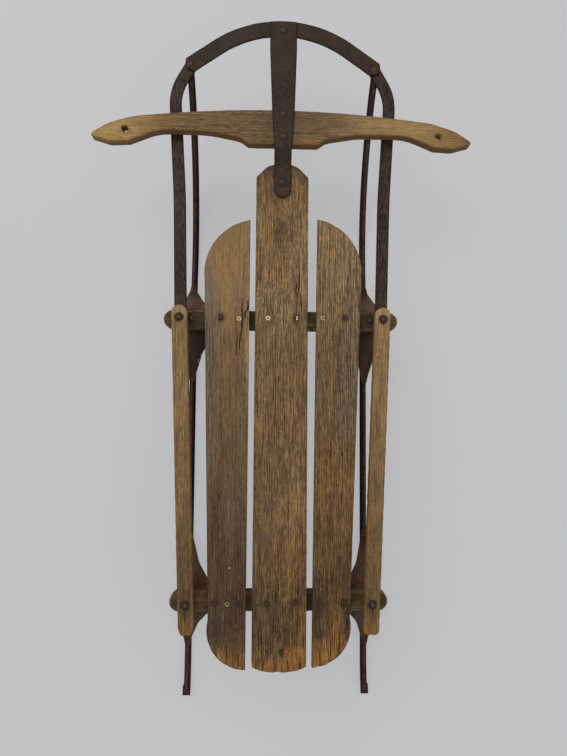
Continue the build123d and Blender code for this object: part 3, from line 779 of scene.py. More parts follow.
def crack(start_x, start_y, end_x, end_y, width):
    """A split in a board: a thin lens in plan, a wedge in section, deepest at its middle."""
    start, along = np.array([start_x, start_y]), np.array([end_x - start_x, end_y - start_y])
    share = np.linspace(0.0, 1.0, 24)
    aside = np.array([-along[1], along[0]]) / np.linalg.norm(along)
    middle = start + share[:, None] * along + aside * (0.5 * np.sin(share * 9.0) * width)[:, None]
    half = width / 2 * np.sin(np.clip(share * 0.96 + 0.02, 0, 1) * math.pi) ** 0.6
    depth = SLAT_TOP - 0.6 - 4.5 * np.sin(np.clip(share, 0.02, 0.98) * math.pi)
    rise = np.full(24, SLAT_TOP + 1.0)
    edges = [(middle + aside * half[:, None], rise), (middle - aside * half[:, None], rise), (middle, depth)]
    return outward(carried(np.stack([np.column_stack(edge) for edge in edges], axis=1)))


def round_patch(x, y):
    """Where something round stood on the middle slat: one inside the patch, nothing outside."""
    off = np.hypot(x + 23.5, y + 252.5) + 0.7 * ripple(x, y, 9.0, 8)
    return np.clip((12.6 - off) / 1.4, 0.0, 1.0)


def pale_tail(x, y):
    """The washed end of the middle slat, one inside: its edge steps forward beside the hole."""
    edge = -420.0 + 17.0 / (1.0 + np.exp(-(x - 7.0) / 1.2)) + 3.0 * ripple(x, y, 7.0, 6)
    return np.clip((edge - y) / 6.0, 0.0, 1.0) * np.clip((x + 31.0) / 9.0, 0.15, 1.0)


class SLED_OT_slats(bpy.types.Operator):
    """Make the three slats of the deck, with worn rims, chipped tails and cracks"""

    bl_idname = "sled.slats"
    bl_label = "Make slats"

    def execute(self, context):
        look, shapes = context.scene.sled_finish, context.scene.sled_shapes
        rim, chip, thick = shapes.slat_rim / MM, shapes.chip_depth / MM, SLAT_TOP - BENCH_TOP

        def chips(x, y):
            near_tail = np.clip((-424.0 - y) / 10.0, 0.0, 1.0)
            return near_tail * chip * np.clip(0.2 + ripple(x, y, 16.0, 5), 0.0, 1.0)

        def board(outline, corners, rows, columns, wear, seed):
            flat = plate(four_sides(outline, corners), thick, rows, columns, rim, wear, seed, chips)
            return moved(flat, (0, 0, BENCH_TOP + thick / 2))

        half, front, rear = 39.5, 308.0, -442.0
        nose = [(-half, rear + 7, 4), (-half, front - 19, 6), (-20, front, 22)]
        nose = rounded(nose + [(-x, y, radius) for x, y, radius in nose[::-1]])
        tail = arc((half - 3.0, rear + 6.5), (-half + 3.0, rear + 6.5), 100.0)
        tail[:, 1] = rear + 6.6 - 6.0 * (1 - (tail[:, 0] / half) ** 2)
        corners = [(-20, front), (20, front), (half - 2, rear + 8), (-half + 2, rear + 8)]
        slat = board(np.concatenate([nose, tail[1:-1]]), corners, 420, 46, 0.5, 3)
        x, y, _ = slat["points"].T
        patch, washed = round_patch(x, y), pale_tail(x, y)
        tone_y = [-442, -400, -345, -290, -250, -100, 60, 140, 230, 275, 308]
        tone = np.interp(y, tone_y, [0.44, 0.18, 0.17, 0.38, 0.41, 0.43, 0.49, 0.67, 0.62, 0.38, 0.18])
        grey = np.interp(y, [-442, -300, -140, 60, 200, 308], [0, 0, 0.2, 0.36, 0.2, 0.2])
        gold = [(34, -380, 8, 34, 0.5), (12, -290, 26, 60, 0.22), (-24, 120, 10, 120, 0.1)]
        calm = np.interp(y, [-442, -400, -320, -230, 308], [0.2, 0, 0, 0.3, 0.25])
        slat = marked(
            slat,
            tone=tone - patch * 0.25,
            grey=grey + 0.35 * patch,
            gold=np.maximum(blots(x, y, gold), 0.85 * washed) * (1.0 - patch),
            stain=blots(x, y, SCREW_STAINS + CENTRE_STAINS_AND_SHADE),
            calm=calm + 0.9 * patch + 0.35 * washed,
        )
        # The slats' rims take a dark tint: painted shade along the rounded edges
        wood = weathered_wood("wood_centre", 1, look, 0.0, 0.35, 1.18, 0.55, broad=0.8, rim=look.wood_rim_shade)
        hole = turned([(0, 1), (1.5, 1), (1.1, -2.5), (0.7, -5), (0, -5.5)], [(*TAIL_HOLE, SLAT_TOP)], 14)
        cuts = gather([crack(*row) for row in CENTRE_CRACKS] + [hole])
        fitted("slat_centre_worn", slat, wood, "frame", "slats", "centre_slat", cutter=cuts)

        for number, name, seed, depth, rows in (
            (-1, "slat_left", 2, 0.9, LEFT_CRACKS),
            (1, "slat_right", 4, 1.05, RIGHT_CRACKS),
        ):
            outline = [arc((50.5, 223.5), (117.5, 133.5), 82.0), arc((102.5, -366.0), (47.5, -436.0), 57.0)]
            corners = [(50.5, 223.5), (98, 191), (88, -412), (47.5, -436)]
            slat = board(np.concatenate(outline), corners, 380, 42, 0.55, seed)
            slat = slat if number > 0 else mirrored(slat)
            aside, splay, ahead = SLAT_SET[number]
            x, y, z = slat["points"].T
            x, y = x + aside + splay * (y + 440.0), y + ahead
            slat["points"] = np.stack([x, y, z], axis=1)
            slat = marked(slat, **(left_marks(x, y) if number < 0 else right_marks(x, y)))
            # The dark rim tint is painted shade along the rounded edges
            looks = {"broad": 0.2, "weave": 0.82, "rim": look.wood_rim_shade}
            wood = weathered_wood(f"wood_{name}_worn", 1, look, 3.7 * seed, 0.6, depth, 0.55, **looks)
            cuts = gather([crack(*row) for row in rows])
            fitted(name + "_worn", slat, wood, "frame", "slats", name, cutter=cuts)
        return {"FINISHED"}


def left_marks(x, y):
    """The left slat: grey outside, a pale stripe by its inner edge, smooth in front."""
    tone_y = [-436, -400, -344, -250, -120, 30, 120, 223]
    tone = np.interp(y, tone_y, [0.30, 0.08, -0.08, 0.02, 0.23, 0.48, 0.69, 0.60])
    older = np.interp(y, [-436, -340, -280, -100, 80, 130, 170], [0.1, 0.3, 0.7, 1.05, 1.1, 0.8, 0.1])
    older = older * np.clip(1.0 + (-82.0 - x) / 45.0, 0.6, 1.4)
    gold = [(-62, -436, 26, 20, 0.75), (-84, -420, 12, 12, 0.55), (-92, 150, 30, 60, 0.25)]
    stains = [(-54.4, 73, 3, 5, 0.9), (-84, -384, 14, 20, 0.7), (-70, -360, 8, 30, 0.3)]
    return {
        "tone": tone + blots(x, y, [(-49.5, 20, 2.4, 85, 0.5)]),
        "grey": older * (1.0 - blots(x, y, [(-49.0, 20.0, 3.0, 90.0, 0.9)])),
        "gold": blots(x, y, gold),
        "stain": blots(x, y, SCREW_STAINS + stains),
        "calm": np.interp(y, [-436, -300, -200, 40, 110, 223], [0, 0, 0.3, 0.35, 0.75, 0.8]),
    }


def right_marks(x, y):
    """The right slat: redder behind a slanting line, golden round its tail."""
    tone_y = [-436, -400, -344, -310, -250, -120, -60, 30, 120, 223]
    redder = np.clip((-94.0 - 0.28 * (x - 52.0) - y) / 6.0, 0.0, 1.0)
    gold = [(75, -430, 36, 26, 0.8), (84, -385, 14, 60, 0.5), (58, -424, 16, 16, 0.5)]
    gold += [(58, -408, 14, 24, 0.35), (74, -170, 36, 60, 0.3), (75, -270, 40, 60, 0.12)]
    stains = [(97, -358, 5, 26, 0.6), (53, -376, 10, 28, 0.6), (57, -391, 3, 4, 0.9)]
    stains.append((62, 118, 8, 8, 0.2))
    return {
        "tone": np.interp(y, tone_y, [0.40, 0.14, 0, 0.06, 0.20, 0.35, 0.33, 0.48, 0.62, 0.72]),
        "grey": (1.0 - redder) * np.interp(y, [-100, 60, 160, 223], [0.95, 0.75, 0.3, 0.2]),
        "gold": blots(x, y, gold),
        "stain": blots(x, y, SCREW_STAINS + stains),
    }


class SLED_OT_benches(bpy.types.Operator):
    """Make the two wooden crosspieces with their round ends"""

    bl_idname = "sled.benches"
    bl_label = "Make benches"

    def execute(self, context):
        look = context.scene.sled_finish
        thick = BENCH_TOP - BENCH_LOW
        # Painted shade: dark blots where the benches lie in the shade under the gaps between the slats, and
        # dark rings round the knee bolts' heads
        gaps = [(44, REAR_BENCH_Y, 9, 24, 2.2), (-44, REAR_BENCH_Y, 9, 24, 0.7)]
        gaps.append((-44, FRONT_BENCH_Y, 9, 24, 1))
        rings = [(side * KNEE_BOLT_X, KNEE_BOLT_Y, 5.4, 1.5, 1.2) for side in (-1, 1)]
        rows = (("front", FRONT_BENCH_Y, 176.5, 6, -0.10), ("rear", REAR_BENCH_Y, 160, 8, 0.08))
        for name, y, reach, seed, brown in rows:
            path = resample(np.array([(-reach + 14.0, y), (0.0, y), (reach - 14.0, y)]), 60)
            block = plate(ribbon(path, 14.0), thick, 16, 190, 1.6, 0.4, seed)
            block = moved(block, (0, 0, BENCH_LOW + thick / 2))
            x, y, _ = block["points"].T
            end = np.abs(x) > reach - 18.0
            block = marked(
                block,
                tone=np.where(end, 0.0, brown) + 0.08 * ripple(x, y, 60.0, seed),
                grey=np.where(end, 0.6, 0.0),
                stain=ringed(x, y, rings) + blots(x, y, gaps),
                calm=np.full(len(x), 0.5),
            )
            tints = {"dark": look.wood_olive, "rim": look.wood_mid}
            wood = weathered_wood("wood_bench_" + name, 0, look, 5.1 * seed, 0.2, 0.6, 0.5, **tints)
            fitted(f"bench_{name}_worn", block, wood, "frame", "benches", f"bench_{name}")
        return {"FINISHED"}


class SLED_OT_rails(bpy.types.Operator):
    """Make the two wooden side rails, round in front and worn behind"""

    bl_idname = "sled.rails"
    bl_label = "Make rails"

    def execute(self, context):
        look = context.scene.sled_finish
        half, front, back = 11.25, 434.0, -43.0
        turn = math.atan2(FRONT_BOLT_X - REAR_BOLT_X, FRONT_BENCH_Y - REAR_BENCH_Y)
        rise = math.atan2(RAIL_LIFT, RAIL_RUN)
        pointed = [(-half, back + 13, 14), (-7.5, back, 5), (7, back, 5), (half, back + 11, 14)]
        blunt = [(-half, back, 5), (half, back, 6)]
        head = [(half, front, half - 0.05), (-half, front, half - 0.05)]
        corners = [(-half * 0.7, front - 3.3), (half * 0.7, front - 3.3), (8, back + 2), (-8, back + 2)]
        tone_y = [-387, -340, -290, -200, -100, -50, 60, 82, 92]
        for number, name, tail, seed in ((-1, "rail_left", pointed, 11), (1, "rail_right", blunt, 12)):
            outline = rounded(tail + head)[::-1]
            rail = plate(four_sides(outline, corners), RAIL_THICK, 330, 20, 2.2, 0.5, seed)
            x, y, z = rail["points"].T
            z = z + RAIL_THICK / 2
            along = y * math.cos(rise) - z * math.sin(rise) + 14.0 * (math.cos(rise) - 1)
            z = (y + 14.0) * math.sin(rise) + z * math.cos(rise) + BENCH_TOP
            x, y = x * math.cos(turn) + along * math.sin(turn), along * math.cos(turn) - x * math.sin(turn)
            rail["points"] = np.stack([x + REAR_BOLT_X, y + REAR_BENCH_Y, z], axis=1)
            rail = rail if number > 0 else mirrored(rail)
            x, y, _ = rail["points"].T
            bolts = [(number * FRONT_BOLT_X, FRONT_BENCH_Y), (number * REAR_BOLT_X, REAR_BENCH_Y)]
            gold = [(number * 151, 92, 14, 6, 0.3), (number * 133, -385, 16, 24, 0.4)]
            stains = [(bx, by, 7, 8.5, 0.6) for bx, by in bolts]
            stains += [(number * 135, -362, 2.2, 8, 0.7), (number * 134.8, -354, 4, 9, 0.5)]
            tone = np.interp(y, tone_y, [0.28, 0.17, 0.22, 0.42, 0.56, 0.58, 0.68, 1.15, 1.15])
            # Painted shade: the thin dark rings round the bolt heads
            rail = marked(
                rail,
                tone=tone + 0.03 * number,
                grey=np.interp(y, [-387, -200, 0, 90], [0, 0.1, 0.15, 0.05]),
                gold=blots(x, y, gold),
                stain=blots(x, y, stains) + ringed(x, y, [(bx, by, 5.6, 1.3, 1.4) for bx, by in bolts]),
            )
            wood = weathered_wood(f"wood_{name}_worn", 1, look, 2.3 * seed, 0.2, 0.62, 0.4, broad=0.85)
            fitted(name + "_worn", rail, wood, "frame", "rails", name)
        return {"FINISHED"}


# The right half of the crossbar's outline: x, distance ahead of its middle line, radius
CROSSBAR_CORNERS = [
    (0, 38, 1700), (226, 12, 90), (262, 0.3, 60), (283, -13.5, 10),
    (286.6, -19, 3.2), (258, -27.5, 25), (229.5, -26, 4), (187, -8.2, 80),
    (112, -8.5, 150), (64.5, -17.5, 20), (52, -26.5, 4),
]
# Dark spots on the crossbar: x, y, half width, half length, strength. The two at the rope holes are painted
# shade in the holes' funnels, and the two long ones beside the strap are its painted shadow
CROSSBAR_STAINS_AND_SHADE = [
    (-235.4, 351, 6, 6, 0.6), (235.4, 351, 6, 6, 0.6), (22, 345, 6, 18, 0.4),
    (-24, 350, 6, 18, 0.35), (0, 372, 60, 9, 0.2),
]
CROSSBAR_GOLD = [
    (-258, 340, 36, 12, 0.3), (258, 340, 36, 12, 0.2), (40, 336, 34, 7, 0.5),
    (-52, 334, 12, 6, 0.5),
]
# A rope hole from above, radius and height: worn funnels at both ends
ROPE_HOLE = [(0, 20), (6.2, 20), (6.2, 17.2), (4.9, 15.6), (4.25, 13), (4.2, 3), (4.9, 0.4)]
ROPE_HOLE += [(6.2, -1.2), (6.2, -4), (0, -4)]


class SLED_OT_crossbar(bpy.types.Operator):
    """Make the wooden crossbar with its scooped necks, pointed hands and rope holes"""

    bl_idname = "sled.crossbar"
    bl_label = "Make crossbar"

    def execute(self, context):
        look, shapes = context.scene.sled_finish, context.scene.sled_shapes
        right = [(x, CROSSBAR_Y + ahead, radius) for x, ahead, radius in CROSSBAR_CORNERS]
        left = [(-x, y, radius) for x, y, radius in reversed(right) if x > 0]
        outline = rounded(right + left, count=40)
        tip, front, rear = 282.5, CROSSBAR_Y - 13.0, CROSSBAR_Y - 20.2
        sides = four_sides(outline, [(-tip, front), (tip, front), (tip, rear), (-tip, rear)])
        bar = plate(sides, CROSSBAR_THICK, 34, 380, shapes.crossbar_rim / MM, 0.15, 14)
        bar = moved(bar, (0, 0, CROSSBAR_LOW + CROSSBAR_THICK / 2))
        x, y, z = bar["points"].T
        side = bar["marks"]["side"]
        # Painted shade: the side faces darken towards their bottom edge, laid on through the stain mark
        foot = np.clip((CROSSBAR_LOW + 7.0 - z) / 6.0, 0.0, 1.0) * side
        tone_x = [-285, -240, -200, -140, -80, 0, 60, 120, 200, 285]
        bar = marked(
            bar,
            tone=np.interp(x, tone_x, [1.05, 0.98, 0.64, 0.40, 0.34, 0.34, 0.42, 0.72, 0.84, 0.48]),
            grey=np.interp(np.abs(x), [0, 60, 150, 220], [0.5, 0.4, 0.2, 0]),
            gold=blots(x, y, CROSSBAR_GOLD),
            stain=blots(x, y, CROSSBAR_STAINS_AND_SHADE) + 0.8 * foot,
            calm=np.interp(x, [-285, -220, -160, 0, 130, 200, 285], [0.7, 0.6, 0.35, 0.1, 0.55, 0.75, 0.6]),
            side=side * np.interp(x, [-285, -215, -160, 285], [0.45, 0.5, 1, 1]),
        )
        # Painted shade: the crossbar's rims take the dark stain colour, for the shade along its rounded
        # edges; its hands take the straw colour
        tints = {"pale": look.wood_straw, "rim": look.wood_stain_and_shade}
        wood = weathered_wood("wood_crossbar", 0, look, 9.0, 0.15, 0.8, 0.35, 0.85, broad=0.45, **tints)
        holes = [(number * ROPE_HOLE_X, CROSSBAR_Y - 8.0, CROSSBAR_LOW) for number in (-1, 1)]
        holes = turned(ROPE_HOLE, holes, 36)
        fitted("crossbar_worn", bar, wood, "steering", "crossbar", "crossbar", cutter=holes)
        return {"FINISHED"}


# Small bright flecks and old paint on the left front knee: y, x, half length, half width, strength
KNEE_FLECKS = [(23.7, -128, 1.4, 1.7, 1), (15, -133.4, 3.4, 1.1, 1), (18.5, -131, 1, 1, 0.9)]
KNEE_PAINT = [(147, -151.5, 9, 3, 1), (133, -153.5, 14, 1.6, 0.8)]


def knee_brim(foot, waist, brim):
    """One edge of a knee seen from ahead: x and height from its foot to its flat top."""
    return rounded([(foot, 14.0, 0), (waist, 75.0, 60.0), (brim, 112.0, 8.0), (brim, 122.0, 0)], False)


class SLED_OT_knees(bpy.types.Operator):
    """Make the four pressed steel knees that stand between benches and runners"""

    bl_idname = "sled.knees"
    bl_label = "Make knees"

    def execute(self, context):
        look, shapes = context.scene.sled_finish, context.scene.sled_shapes
        foot, top, pad, bend, shoulder = 16.5, 119.5, 12.0, 9.0, 16.0
        inner = knee_brim(142.5, 124.0, 104.0)
        for name, y, ahead, behind, brim in (
            ("front", FRONT_BENCH_Y, 68, 76, 160),
            ("rear", REAR_BENCH_Y, 70, 98, 150),
        ):
            arch = [(y - behind - pad, foot, 0), (y - behind, foot, bend), (y - shoulder, top, bend)]
            arch += [(y + shoulder, top, bend), (y + ahead, foot, bend), (y + ahead + pad, foot, 0)]
            arch = resample(rounded(arch, False), 241)
            outer = knee_brim(153.5, 155.0, brim)
            end = np.minimum(arch[:, 0] - arch[0, 0], arch[-1, 0] - arch[:, 0])
            slim = 3.2 * (1.0 - np.sqrt(np.clip(end / 13.0, 0.0, 1.0)))
            length = np.linspace(0.0, np.linalg.norm(np.diff(arch, axis=0), axis=1).sum(), 241)
            left = np.column_stack([np.interp(arch[:, 1], inner[:, 1], inner[:, 0]) + slim, length])
            right = np.column_stack([np.interp(arch[:, 1], outer[:, 1], outer[:, 0]) - slim, length])
            sides = [np.stack([left[-1], right[-1]]), right[::-1], np.stack([right[0], left[0]]), left]
            sheet = bent(plate(sides, 3.0, 240, 22, shapes.bar_rim / MM, 0.3, 21), arch)
            for number, side in ((1, "right"), (-1, "left")):
                knee = sheet if number > 0 else mirrored(sheet)
                x, along, z = knee["points"].T
                first = (number < 0) * (name == "front")
                # Paler brown towards the top of the front slopes, and a painted sheen along the middle of the
                # rear flanks
                paler_cap = 0.55 if name == "rear" else 0.8 + 0.1 * number
                dust = np.clip((along - y - 12.0) / 14.0, 0.0, 1.0) * np.clip((z - 30.0) / 60.0, 0.0, paler_cap)
                streak = 0.22 * np.exp(-(((np.abs(x) - 141.0) / 6.0) ** 2))
                streak = streak * np.clip((y - 12.0 - along) / 10.0, 0.0, 1.0)
                knee = marked(
                    knee,
                    paint=blots(along, x, KNEE_PAINT) * first,
                    rust=0.08 * np.clip(1 - (z - 15.0) / 20.0, 0, 1),
                    dust=dust + streak,
                    fleck=blots(along, x, KNEE_FLECKS) * first,
                )
                paint, shift = look.knee_paint, number + y * 0.01
                steel = aged_steel(
                    f"paint_knee_{name}_{side}", look, paint, 0.3, 0.35, 0.42, shift, paint=paint, gloss=0.09
                )
                fitted(f"knee_{name}_{side}_pressed", knee, steel, "frame", "knees", f"knee_{name}_{side}")
        return {"FINISHED"}


class SLED_OT_runners(bpy.types.Operator):
    """Make the two T-bar runners, each one bar from its raised tail to the tongue at the bow"""

    bl_idname = "sled.runners"
    bl_label = "Make runners"

    def execute(self, context):
        look = context.scene.sled_finish
        curl, curl_turn, climb, level, eye_radius = 250.0, math.radians(14.0), 137.0, 22.0, 9.0
        half, thick, tall, web_half, neck = 5.5, 3.2, 15.0, 1.9, 3.4
        turn = np.linspace(curl_turn, 0.0, 24)
        start_y = -FRONT_REACH + curl * math.sin(curl_turn)
        tail = np.stack([start_y - curl * np.sin(turn), curl * (1 - np.cos(turn))], axis=1)
        reach = math.hypot(CORNER_X - RUNNER_X, CORNER_Y - FLEX_Y)
        ahead = reach - eye_radius - level
        radius = (ahead**2 + climb**2) / (2 * climb)
        turn = np.linspace(0.0, math.acos(1 - climb / radius), 90)[1:]
        toe = np.stack([FLEX_Y + level + radius * np.sin(turn), radius * (1 - np.cos(turn))], axis=1)
        path = np.concatenate([tail, [[FLEX_Y, 0.0]], [[FLEX_Y + level, 0.0]], toe])
        tongue = (FLEX_Y + reach + eye_radius, climb, 0)
        knuckle = rounded([(*path[-6], 0), (*path[-1], 9.0), tongue], False)
        path = resample(np.concatenate([path[:-5], knuckle[1:]]), 560)
        up = normals_left(path)
        slope = up[:, 1]

        right = [(half, 0, 0.9), (half, thick, 0.9), (web_half, neck, 1.2), (web_half, tall, 1.2)]
        left = [(-x, height, radius) for x, height, radius in right[::-1]]
        x, height = rounded(left[-1:] + right + left[:-1], count=4).T
        along, rise = path.T
        low = 3.3
        web = np.clip((138.2 - rise) / np.maximum(slope, 0.2) - 0.3, low, tall)
        web = np.minimum(web, low + 11.7 * np.clip((along + 537.0) / 12.0, 0.0, 1.0))
        eye = np.sqrt(np.clip(eye_radius**2 - (along - FLEX_Y - reach) ** 2, 1.0, eye_radius**2))
        wide = np.where(along > FLEX_Y + reach, eye, np.maximum(half, eye))
        collar = 1.8 * np.clip((-522.0 - along) / 1.5, 0.0, 1.0)
        shape_x = np.where(np.abs(x) > 2.4, np.sign(x) * (wide[:, None] - half + np.abs(x)), x)
        shape_x = shape_x + np.where(x > 2.4, collar[:, None], 0.0)
        shape_h = np.where(height > 9.0, height - tall + web[:, None], height)
        shape_h = np.minimum(shape_h, np.maximum(web[:, None], thick))
        side = RUNNER_X + (CORNER_X - RUNNER_X) * (np.clip(along - FLEX_Y, 0.0, None) / reach)
        places = [side[:, None] + shape_x, along[:, None] + shape_h * up[:, :1]]
        places.append(rise[:, None] + shape_h * up[:, 1:])
        # Painted highlight: the web's top edge is marked as rim, so it takes the paler rim colour
        bar = marked(
            carried(np.stack(places, axis=2)),
            rim=np.where(shape_h > 13.5, 0.0, 3.0).ravel(),
            rust=np.repeat(0.08 * np.clip((-505.0 - along) / 30.0, 0, 1), len(x)),
        )
        for number, name in ((1, "right"), (-1, "left")):
            steel = aged_steel(
                f"steel_runner_{name}", look, look.runner_brown, 0.45, 0.5, 0.44, 3.0 * number, drawn=True
            )
            piece = put(f"runner_{name}_bar", bar if number > 0 else mirrored(bar), steel)
            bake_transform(piece)
            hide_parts(f"runner_{name}", f"runner_front_{name}")
        return {"FINISHED"}


class SLED_OT_linkage(bpy.types.Operator):
    """Make the side bars, the bow and the strap of flat steel"""

    bl_idname = "sled.linkage"
    bl_label = "Make linkage"

    def execute(self, context):
        look, shapes = context.scene.sled_finish, context.scene.sled_shapes
        rim = shapes.bar_rim / MM
        path = [(FRONT_BOLT_X, FRONT_BENCH_Y, 0), (155.5, 256, 900), (165.8, 422.5, 80)]
        path = resample(rounded([*path, (CORNER_X, CORNER_Y, 0)], False, 40), 200)
        bar = plate(ribbon(path, 9.25), BAR_THICK, 10, 300, rim, 0.3, 31)
        bar = moved(bar, (0, 0, BAR_LOW + BAR_THICK / 2))
        for number, name in ((1, "side_bar_right"), (-1, "side_bar_left")):
            side = bar if number > 0 else mirrored(bar)
            x, y, _ = side["points"].T
            spots = [(number * FRONT_BOLT_X, 92, 12, 14, 0.3), (number * CORNER_X, CORNER_Y, 14, 14, 0.35)]
            # Painted shade: the side bars' rims take the dark shade colour
            looks = {"drawn": True, "rim": look.grime}
            steel = aged_steel("steel_" + name, look, look.steel_grey, 0.22, 0.7, 0.5, 5.0 * number, **looks)
            fitted(name + "_flat", marked(side, rust=blots(x, y, spots)), steel, name, "linkage", name)

        centre = FRONT_REACH - BOW_WIDTH / 2 - BOW_RADIUS
        corner = math.hypot(CORNER_X, CORNER_Y - centre)
        angle = math.atan2(CORNER_X, CORNER_Y - centre) - math.acos(BOW_RADIUS / corner)
        apex = centre + BOW_RADIUS / math.cos(angle)
        path = rounded([(-CORNER_X, CORNER_Y, 0), (0, apex, BOW_RADIUS), (CORNER_X, CORNER_Y, 0)], False, 80)
        sides = ribbon(resample(path, 240), BOW_WIDTH / 2, 6.0)
        hoop = moved(plate(sides, BAR_THICK, 12, 240, rim, 0.3, 33), (0, 0, BOW_LOW + BAR_THICK / 2))
        x, y, _ = hoop["points"].T
        ends = [(side * CORNER_X, CORNER_Y) for side in (-1, 1)]
        spots = [(*end, 11, 11, 0.35) for end in ends] + [(26, 530, 10, 12, 0.25)]
        # Painted shade: dark rings round the corner rivets, and dark rims along the bow's edges
        grime = ringed(x, y, [(*end, 7.8, 1.3, 0.6) for end in ends])
        steel = aged_steel("steel_bow", look, look.steel_brown, 0.4, 0.7, 0.46, 2.0, rim=look.grime)
        fitted("bow_flat", marked(hoop, rust=blots(x, y, spots), grime=grime), steel, "bow", "linkage", "bow")

        pivot_half, bar_half, bow_half, bend = 13.0, 17.1, 20.7, 8.0
        tip = PIVOT_Y - 23.5
        profile = [(tip - 1, 151.3, 0), (303, 151.3, bend), (326, 166.1, bend), (385.5, 166.1, bend)]
        profile += [(506, 148.4, bend), (FRONT_REACH + 1, 148.4, 0)]
        profile = rounded(profile, False)
        length = np.concatenate([[0.0], np.cumsum(np.linalg.norm(np.diff(profile, axis=0), axis=1))])

        def laid(points):
            return np.column_stack([points[:, 0], np.interp(points[:, 1], profile[:, 0], length)])

        outer = BOW_RADIUS + BOW_WIDTH / 2 - 2.0
        front_x = np.linspace(-bow_half, bow_half, 24)
        front = np.column_stack([front_x, FRONT_REACH - 2.0 - outer + np.sqrt(outer**2 - front_x**2)])
        right = [(bow_half, front[-1, 1], 0), (bow_half, 488, 200), (bar_half, 385.5, 200)]
        right = rounded(right + [(pivot_half, 326, 60), (pivot_half, tip + pivot_half, 0)], False)
        turn = np.linspace(0.0, math.pi, 41)
        end = np.column_stack([pivot_half * np.cos(turn), tip + pivot_half - pivot_half * np.sin(turn)])
        left = right[::-1] * np.array([-1.0, 1.0])
        flanks = [np.concatenate([right, end[1:11]]), np.concatenate([end[30:], left[1:]])]
        right, left = (resample(laid(flank), 260) for flank in flanks)
        strap = plate([laid(front), right, laid(end[10:31]), left], BAR_THICK, 240, 16, rim, 0.3, 35)
        strap = bent(strap, profile)
        x, y, _ = strap["points"].T
        spots = [(0, PIVOT_Y - 12, 7, 5, 0.35), (0, PIVOT_Y, 11, 14, 0.3)]
        spots.append((0, STRAP_RIVET_Y, 11, 12, 0.3))
        # Painted shade: dark rings round the bolt and rivet heads on the strap, and dark rims along its edges
        heads = [(0, y_bolt, 5.9, 1.2, 0.45) for y_bolt in CROSSBAR_BOLTS_Y]
        heads += [(0, PIVOT_Y, 7, 1.5, 0.7), (0, STRAP_RIVET_Y, 6.8, 1.2, 0.6)]
        strap = marked(strap, rust=blots(x, y, spots), grime=ringed(x, y, heads))
        steel = aged_steel("steel_strap", look, look.steel_brown, 0.3, 0.7, 0.46, 8.0, rim=look.grime)
        fitted("strap_flat", strap, steel, "steering", "linkage", "strap")
        return {"FINISHED"}


def dome(radius, height, low, nut=None):
    """The profile of a bolt or rivet from its crown to its lower end: the head is a part of a
    circle that is as high as it should be at the middle, the shank is straight, and the end is a
    nut or a smaller hammered head."""
    ball = (radius**2 + height**2) / (2 * height)
    turn = np.linspace(0.0, math.asin(min(radius / ball, 1.0)), 9)
    head = [(ball * math.sin(a), height - ball * (1 - math.cos(a))) for a in turn]
    shank = radius * 0.52
    if nut is None:
        end = [(shank, low), (radius * 0.86, low), (radius * 0.82, low - height * 0.6)]
        end += [(radius * 0.4, low - height * 0.9), (0.0, low - height)]
    else:
        end = [(shank, low), (nut * 0.92, low), (nut, low - 0.5), (nut, low - 3.5), (nut * 0.92, low - 4.0)]
        end += [(shank, low - 4.0), (shank, low - 5.5), (shank * 0.8, low - 6.0), (0.0, low - 6.0)]
    return head + [(radius * 0.97, -0.35), (shank, -0.35)] + end


